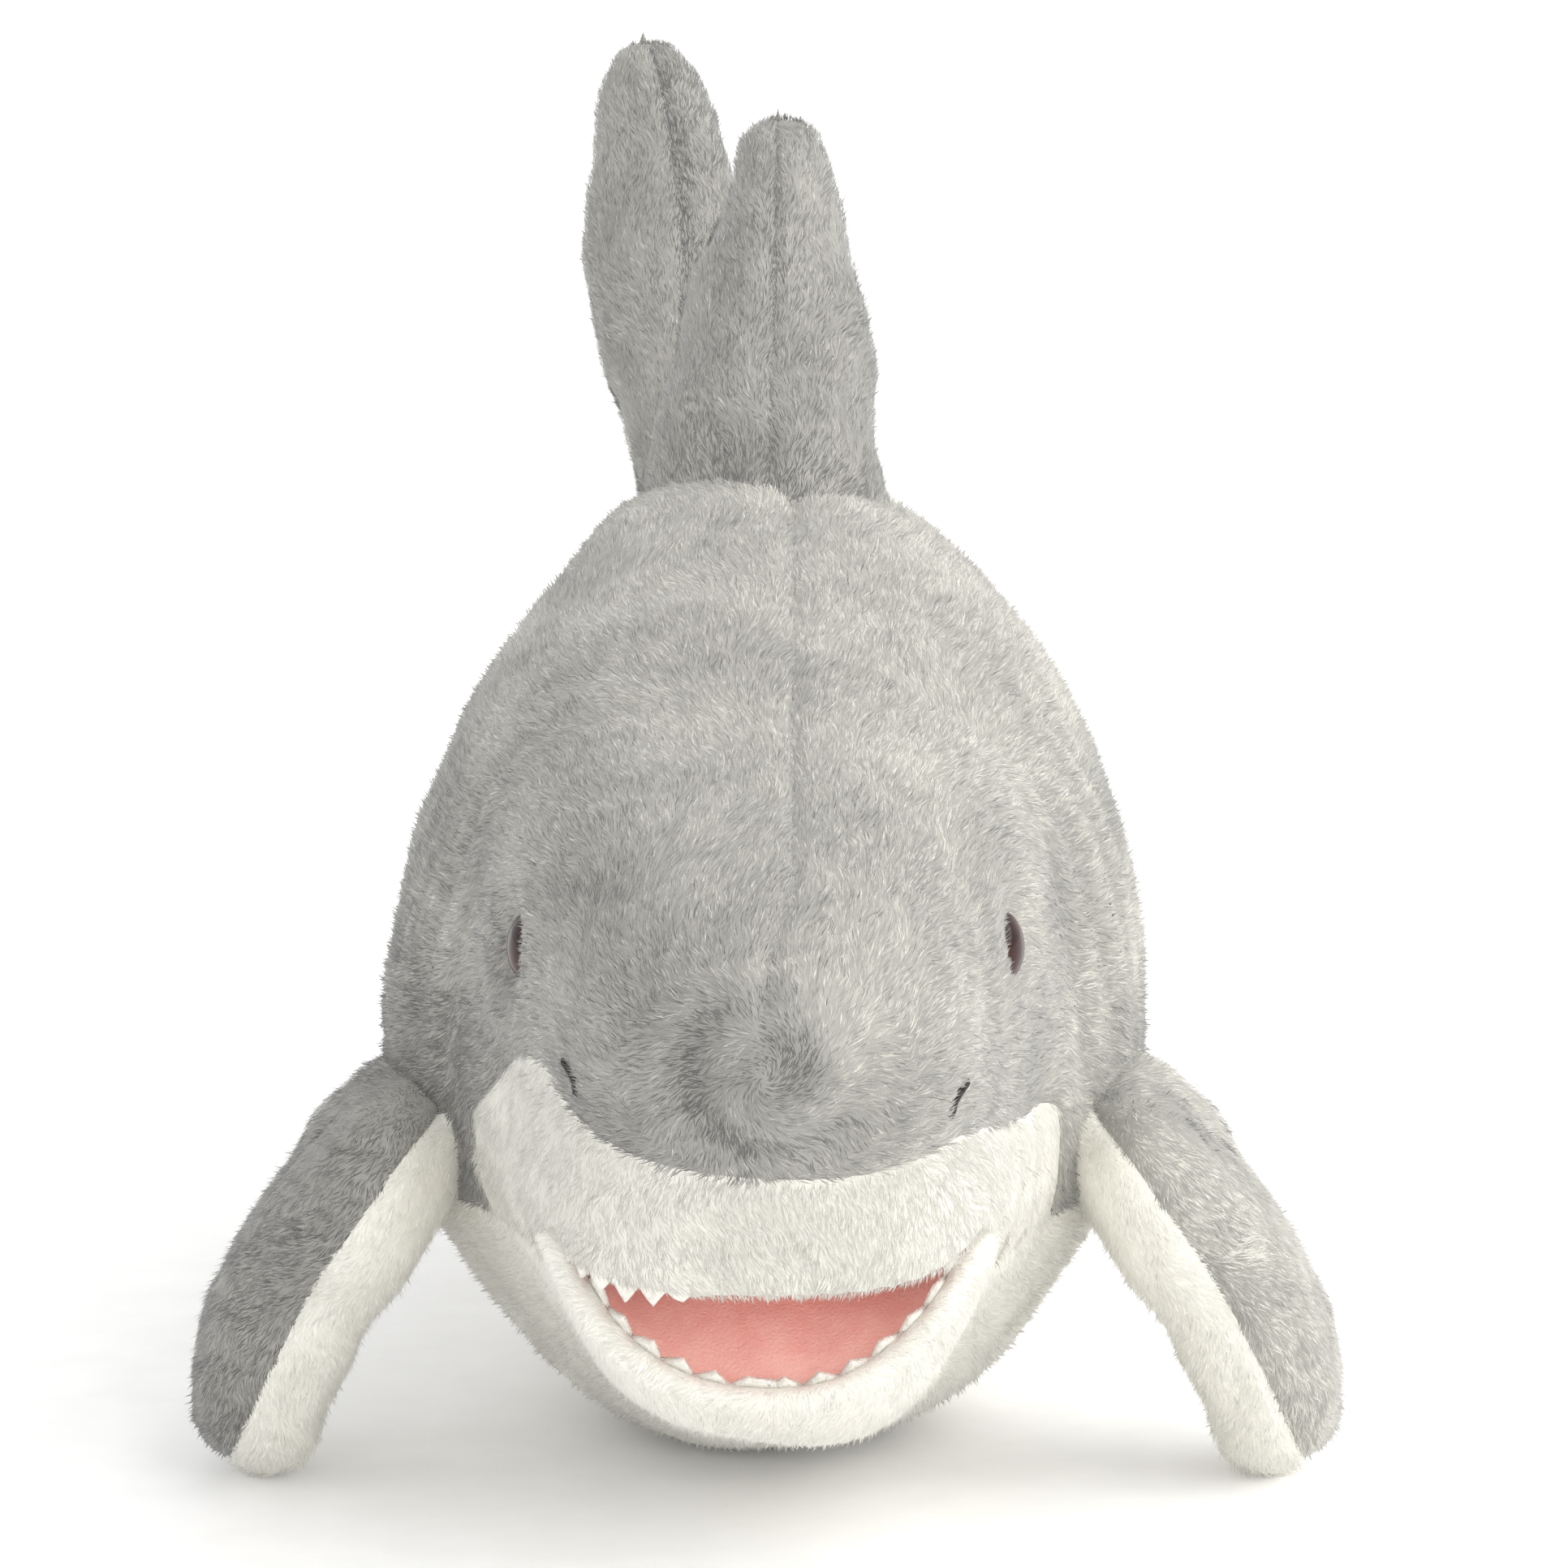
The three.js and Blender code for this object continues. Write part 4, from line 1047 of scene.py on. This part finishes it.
joins = {
    "jaw": ("torso", "jaw", row_point(0, 92, 51), row_point(0, 60, 46)),
    "tail": ("torso", "tail", row_point(0, TAIL_HINGE_S - 32, 80), row_point(0, TAIL_HINGE_S + 32, 80)),
    "dorsal": ("torso", "dorsal_fin", row_point(0, DORSAL["s"], 148), row_point(0, DORSAL["s"], 178)),
    "caudal": ("tail", "caudal_fin", row_point(-17, CAUDAL_HINGE_S - 6, 87),
               row_point(-17, CAUDAL_HINGE_S + 18, 87)),
}


def pectoral_join(side):
    droop = math.radians(PECTORAL["droop"])
    out = np.array([math.cos(droop) * side, 0, -math.sin(droop)])
    hinge = np.array([PECTORAL["x"] * side, PECTORAL["s"], PECTORAL["z"]])
    body = "pectoral_fin_left" if side > 0 else "pectoral_fin_right"
    return "torso", body, row_point(*(hinge - out * 4)), row_point(*(hinge + out * 16))


def attach(piece, join):
    if isinstance(join, str):
        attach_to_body(piece, join)
    else:
        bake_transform(piece)


def plush(name, skin, colour, join, replaced, seed, tone=0.0):
    """A panel: its backing cloth, which stands for CAD nodes, and the pile that grows on it."""
    skin.tone = skin.tone + tone + WHITE_TONE * (colour == "white")
    cloth, pile = (grey_cloth, grey_pile) if colour == "grey" else (white_cloth, white_pile)
    panel = skin_piece(name, skin, cloth)
    attach(panel, join)
    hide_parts(*replaced)
    for tuft in grow_pile(f"{name}_pile", skin, pile, seed):
        attach(tuft, join)


plush("back_left", back_skin(1), "grey", joins["tail"],
      ["back_panel_left", "tail_panel_left", "body_filling"], 101)
plush("back_right", back_skin(-1), "grey", joins["tail"],
      ["back_panel_right", "tail_panel_right", "tail_filling"], 102)
plush("muzzle", muzzle_skin(), "white", "torso", ["muzzle_panel"], 103)
plush("jaw_and_chest", jaw_skin(), "white", joins["jaw"],
      ["lower_jaw_panel", "belly_panel", "jaw_filling"], 104)
plush("belly_to_tail", tail_belly_skin(), "white", joins["tail"], ["tail_belly_panel"], 105)

for side, name, first_angle in ((1, "left", 0), (-1, "right", math.pi)):
    dorsal = fin_skin(dorsal_surface, dorsal_swelling, DORSAL_RINGS, first_angle, 60, 44, 31)
    # Painted shade: darker along the seams and at the low front of the fin, where it meets the back.
    painted_shade_at_foot = 1.8 * smooth(185, 160, dorsal.points[:, 2]) * smooth(175, 155, dorsal.points[:, 1])
    dorsal.tone -= 0.9 * dorsal.seam + painted_shade_at_foot
    replaced = [f"dorsal_{name}_panel"] + (["dorsal_filling"] if side > 0 else [])
    plush(f"dorsal_{name}", dorsal, "grey", joins["dorsal"], replaced, 110 + side, tone=-1.1)
    caudal = fin_skin(caudal_surface, caudal_swelling, CAUDAL_RINGS, first_angle, 110, 34, 41, False)
    # Painted shade: darker along the seams, and the whole left side darker.
    caudal.tone -= 2.6 * caudal.seam + 1.1 * (side > 0)
    replaced = [f"caudal_{name}_panel"] + (["caudal_filling"] if side > 0 else [])
    plush(f"caudal_{name}", caudal, "grey", joins["caudal"], replaced, 120 + side, tone=-0.7)

for side, name in ((1, "left"), (-1, "right")):
    for half, first_angle, colour in (("top", math.pi, "grey"), ("under", 0, "white")):
        skin = fin_skin(pectoral_surface, pectoral_swelling, PECTORAL_RINGS, first_angle, 52, 40, 51)
        if side < 0:
            skin = mirrored(skin)
        replaced = [f"pectoral_{name}_{half}_panel"] + ([f"pectoral_{name}_filling"] if half == "top" else [])
        seed = 130 + side * 3 + (half == "top")
        # Painted light and shade: the grey top of the left fin is lighter, on the key lamp's side, and that
        # of the right fin is darker.
        tone = 1.2 if side > 0 else -1.9
        plush(f"pectoral_{name}_{half}", skin, colour, pectoral_join(side), replaced, seed,
              tone=tone * (half == "top"))


# ---------------------------------------------------------------- eyes, nostrils and stitches

THREAD_SIDES = 7


def thread(name, path, radius, material, join, replaced):
    """A sewn thread: a round tube along a path of points, closed at both ends."""
    path = np.asarray(path, float)
    along = unit(np.gradient(path, axis=0))
    across = unit(np.cross(along, (0.13, 0.31, 0.94)))
    up = np.cross(along, across)
    angle = np.linspace(0, 2 * math.pi, THREAD_SIDES, endpoint=False)[None, :, None]
    taper = np.sqrt(np.clip(1 - np.abs(np.linspace(-1, 1, len(path))) ** 8, 0.05, 1))[:, None, None]
    tube = path[:, None] + radius * taper * (across[:, None] * np.cos(angle) + up[:, None] * np.sin(angle))
    points = np.vstack([tube.reshape(-1, 3), path[:1], path[-1:]])
    piece = add_mesh(name, to_row(points), tube_faces(len(path), THREAD_SIDES), [material])
    weld(piece)
    attach(piece, join)
    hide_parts(replaced)


def safety_eye(side):
    """A domed plastic eye on its stem, turned about the way it looks."""
    turn = np.linspace(0, math.pi / 2, 14)
    rise = EYE["dome"] + EYE["sunk"]
    dome = [(EYE["radius"] * math.cos(a), rise * math.sin(a) - EYE["sunk"]) for a in turn[:-1]]
    profile = [(EYE["stem"], -EYE["stem_length"]), (EYE["stem"], -EYE["sunk"]), *dome]
    ends = ((0, -EYE["stem_length"]), (0, EYE["dome"]))
    angle = np.linspace(0, 2 * math.pi, EYE["sides"], endpoint=False)
    out = unit(np.array(EYE["outward"]) * (side, 1, 1))
    across = unit(np.cross(out, (0, 0, 1)))
    up = np.cross(across, out)
    rings = [centre * out + radius * (np.cos(angle)[:, None] * across + np.sin(angle)[:, None] * up)
             for radius, centre in profile]
    points = np.vstack([*rings, [centre * out for _, centre in ends]])
    points += (EYE["x"] * side, EYE["s"], EYE["z"]) - EYE_SET_IN * out
    name = "left" if side > 0 else "right"
    faces = tube_faces(len(profile), EYE["sides"])
    piece = add_mesh(f"safety_eye_{name}", to_row(points), faces, [eye_plastic])
    weld(piece)
    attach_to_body(piece, "torso")
    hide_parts(f"eye_{name}")


def on_skin(x, s, z, lift):
    """The point of the sewn skin beside a point of the plain loft, lifted along its normal."""
    place = place_of(s)
    phi = phi_of(place, z) * np.sign(x)
    return body_skin(place, phi) + lift * body_normal(place, phi)


def nostril_path(side):
    slant = math.radians(NOSTRIL["slant"])
    walk = np.linspace(-0.5, 0.5, 12) * NOSTRIL["length"]
    s = NOSTRIL["s"] + walk * math.cos(slant)
    return on_skin(np.full(12, side), s, nostril_z(side) + walk * math.sin(slant), 0.5)


def gill_path(side, number):
    z = np.linspace(GILL["low"], GILL["high"], 20)
    s = GILL["first"] + number * GILL["pitch"] - GILL["lean"] * (z - GILL["upright_at"])
    return on_skin(np.full(20, side), s, z, 0.1)


def closing_path():
    """A ladder of small stitches that shuts the opening the filling went in by."""
    s = np.linspace(CLOSING["first"], CLOSING["last"], 90)
    walked = (s - CLOSING["first"]) / (CLOSING["last"] - CLOSING["first"])
    place = place_of(s)
    phi = 0.035 * np.sin(walked * 2 * math.pi * CLOSING["stitches"])
    return body_skin(place, phi) + 1.1 * body_normal(place, phi)


for side, name in ((1, "left"), (-1, "right")):
    safety_eye(side)
    thread(f"nostril_thread_{name}", nostril_path(side), 0.6, dark_thread, "torso",
           f"nostril_stitch_{name}")
    for number in range(GILL["count"]):
        thread(f"gill_thread_{name}_{number + 1}", gill_path(side, number), 0.25, grey_thread,
               "torso", f"gill_stitch_{name}_{number + 1}")
thread("closing_thread", closing_path(), 0.3, white_thread, joins["tail"], "closing_stitch")


# ---------------------------------------------------------------- the mouth

# Sizes of the teeth. upright is 1 for teeth that point up, and low_on_left is how much shorter the
# points are on the shark's left.
TEETH = {
    "upper": {"pitch": 4.7, "peak": 6.4, "valley": 2.6, "hidden": 4.5, "inward": 2.4,
              "low_on_left": 4.2, "upright": -1},
    "lower": {"pitch": 6.0, "peak": 4.4, "valley": 0.0, "hidden": 6.5, "inward": 3.4,
              "low_on_left": 1.2, "upright": 1},
}
LINING_THICKNESS = 0.7
FELT_THICKNESS = 1.0
LINING_INWARD = 4.0
LINING_STEPS = 40    # steps along half a lip
TOOTH_STEPS = 160
PALATE = {"lift": 1.2, "throat_z": 52.4, "swell": 1.5}
TONGUE = {"lift": -1.8, "throat_z": 50.4, "swell": 1.6}


def mouth_edge(edge_s, edge_phi, steps, inward):
    """A curve inside a lip, from the right mouth corner round the front to the left one."""
    inside = edge_s <= JAW["s"]
    places, phi = even_edge(edge_s[inside], edge_phi[inside], steps)
    place = np.concatenate([places[:0:-1], places])
    phi = np.concatenate([-phi[:0:-1], phi])
    normal = body_normal(place, phi)
    return body_skin(place, phi) - inward * normal, normal


def cloth_sheet(name, points, thickness, material):
    """A sheet of cloth from a grid of points, with a back face and closed edges."""
    rows, columns = points.shape[:2]
    front = points.reshape(-1, 3)
    front_faces = grid_faces(rows, columns)
    back = front - point_normals(front, front_faces) * thickness
    count = rows * columns
    index = np.arange(count).reshape(rows, columns)
    rim = np.concatenate([index[0], index[1:, -1], index[-1, -2::-1], index[-2:0:-1, 0]])
    following = np.roll(rim, -1)
    edge_faces = np.stack([following, rim, rim + count, following + count], 1)
    faces = np.vstack([front_faces, front_faces[:, ::-1] + count, edge_faces])
    piece = add_mesh(name, to_row(np.vstack([front, back])), faces, [material])
    weld(piece)
    return piece


def mouth_piece(name, points, thickness, material, body, replaced):
    """A sheet of cloth in the mouth, attached to a body and standing in for a CAD node, which it hides."""
    piece = cloth_sheet(name, points, thickness, material)
    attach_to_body(piece, body)
    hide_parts(replaced)


def lining(edge_s, edge_phi, shape):
    """Pink cloth from inside a lip to the throat, a little swollen in the middle."""
    rim = mouth_edge(edge_s, edge_phi, LINING_STEPS, LINING_INWARD)[0] + (0, 0, shape["lift"])
    across = np.linspace(-1, 1, len(rim))
    throat = np.full_like(rim, JAW["s"] + 2)
    throat[:, 0] = rim[:, 0] * 0.92
    throat[:, 2] = shape["throat_z"]
    inward = np.linspace(0, 1, 26)[:, None, None]
    points = rim + (throat - rim) * inward
    points[..., 2] += shape["swell"] * np.sin(math.pi * inward[..., 0]) * (1 - across ** 2)
    points[..., 2] += 0.25 * waves(points, 14, 61) * np.sin(math.pi * inward[..., 0])
    return points


def tooth_strip(edge_s, edge_phi, kind):
    """A felt strip cut into points, standing inside a lip."""
    teeth = TEETH[kind]
    edge, normal = mouth_edge(edge_s, edge_phi, TOOTH_STEPS, teeth["inward"])
    walked = walked_along(edge)
    count = round(walked[-1] / teeth["pitch"])
    phase = (walked / walked[-1] * count) % 1
    point = 1 - np.abs(2 * phase - 1)
    across = np.linspace(-1, 1, len(edge))
    ends = smooth(0.74, 0.64, np.abs(across))
    hang = teeth["peak"] - teeth["low_on_left"] * smooth(-0.34, -0.08, across)
    high = (teeth["valley"] + (hang - teeth["valley"]) * point ** 0.9) * ends
    levels = np.linspace(0, 1, 9)[:, None]
    height = -teeth["hidden"] + (high + teeth["hidden"]) * levels
    rise = unit(np.cross(normal, np.gradient(edge, axis=0)))
    rise *= np.sign(rise[:, 2:]) * teeth["upright"]
    points = edge + rise * height[..., None]
    return points + normal * (0.12 * height * np.where(height > 0, 1, 0))[..., None]


mouth_piece("palate_cloth", lining(upper_s, upper_phi, PALATE), -LINING_THICKNESS, pink_cloth,
            "torso", "palate_lining")
mouth_piece("tongue_cloth", lining(lower_s, lower_phi, TONGUE), LINING_THICKNESS, pink_cloth,
            "jaw", "tongue_lining")
mouth_piece("upper_felt_teeth", tooth_strip(upper_s, upper_phi, "upper"), FELT_THICKNESS, white_felt,
            "torso", "upper_teeth")
mouth_piece("lower_felt_teeth", tooth_strip(lower_s, lower_phi, "lower"), FELT_THICKNESS, white_felt,
            "jaw", "lower_teeth")


# ---------------------------------------------------------------- carried-over CAD nodes

for name in ("eye_washer_left", "eye_washer_right"):
    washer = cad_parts[name]
    washer.data.materials.clear()
    washer.data.materials.append(washer_plastic)


# ---------------------------------------------------------------- studio

def soft_sun(name, towards, strength, spread, colour=(1, 1, 1)):
    """A wide soft lamp far away, shining from the direction that towards points in."""
    light = bpy.data.lights.new(name, "SUN")
    light.angle = math.radians(spread)
    light.energy = strength
    light.color = colour
    lamp = bpy.data.objects.new(name, light)
    bpy.context.scene.collection.objects.link(lamp)
    lamp.location = (0, 0, 1)
    lamp.rotation_euler = Vector(towards).to_track_quat("Z", "Y").to_euler()


def floor_material():
    material, shader = new_material("pale_floor", (250, 250, 250), 0.6)
    grain = add_noise(material, 90, 2)
    add_colour_ramp(material, shader, grain, (248, 248, 248), (252, 252, 252))
    return material


def studio():
    size = 6.0
    corners = [(-size, -size, 0), (size, -size, 0), (size, size, 0), (-size, size, 0)]
    floor = add_mesh("floor", corners, [(0, 1, 2, 3)], [floor_material()])
    world = bpy.data.worlds.new("studio")
    world.use_nodes = True
    world.node_tree.nodes["Background"].inputs["Color"].default_value = (1, 1, 1, 1)
    world.node_tree.nodes["Background"].inputs["Strength"].default_value = 1.0
    bpy.context.scene.world = world
    soft_sun("key", (0.79, -0.19, 0.62), 2.0, 70, (1, 0.98, 0.94))
    soft_sun("front", (0.1, -0.94, 0.32), 0.6, 60)


CAMERA = {"x": 0.003, "in_front_of_nose": 0.916, "height": 0.327, "down": 11.28, "lens": 140.6}


def camera():
    data = bpy.data.cameras.new("camera")
    data.lens = CAMERA["lens"]
    data.sensor_width = 36
    eye = bpy.data.objects.new("camera", data)
    bpy.context.scene.collection.objects.link(eye)
    eye.location = (CAMERA["x"], NOSE_Y - CAMERA["in_front_of_nose"], CAMERA["height"])
    eye.rotation_euler = (math.radians(90 - CAMERA["down"]), 0, 0)
    bpy.context.scene.camera = eye


studio()
camera()
bpy.context.scene.view_settings.view_transform = "Standard"
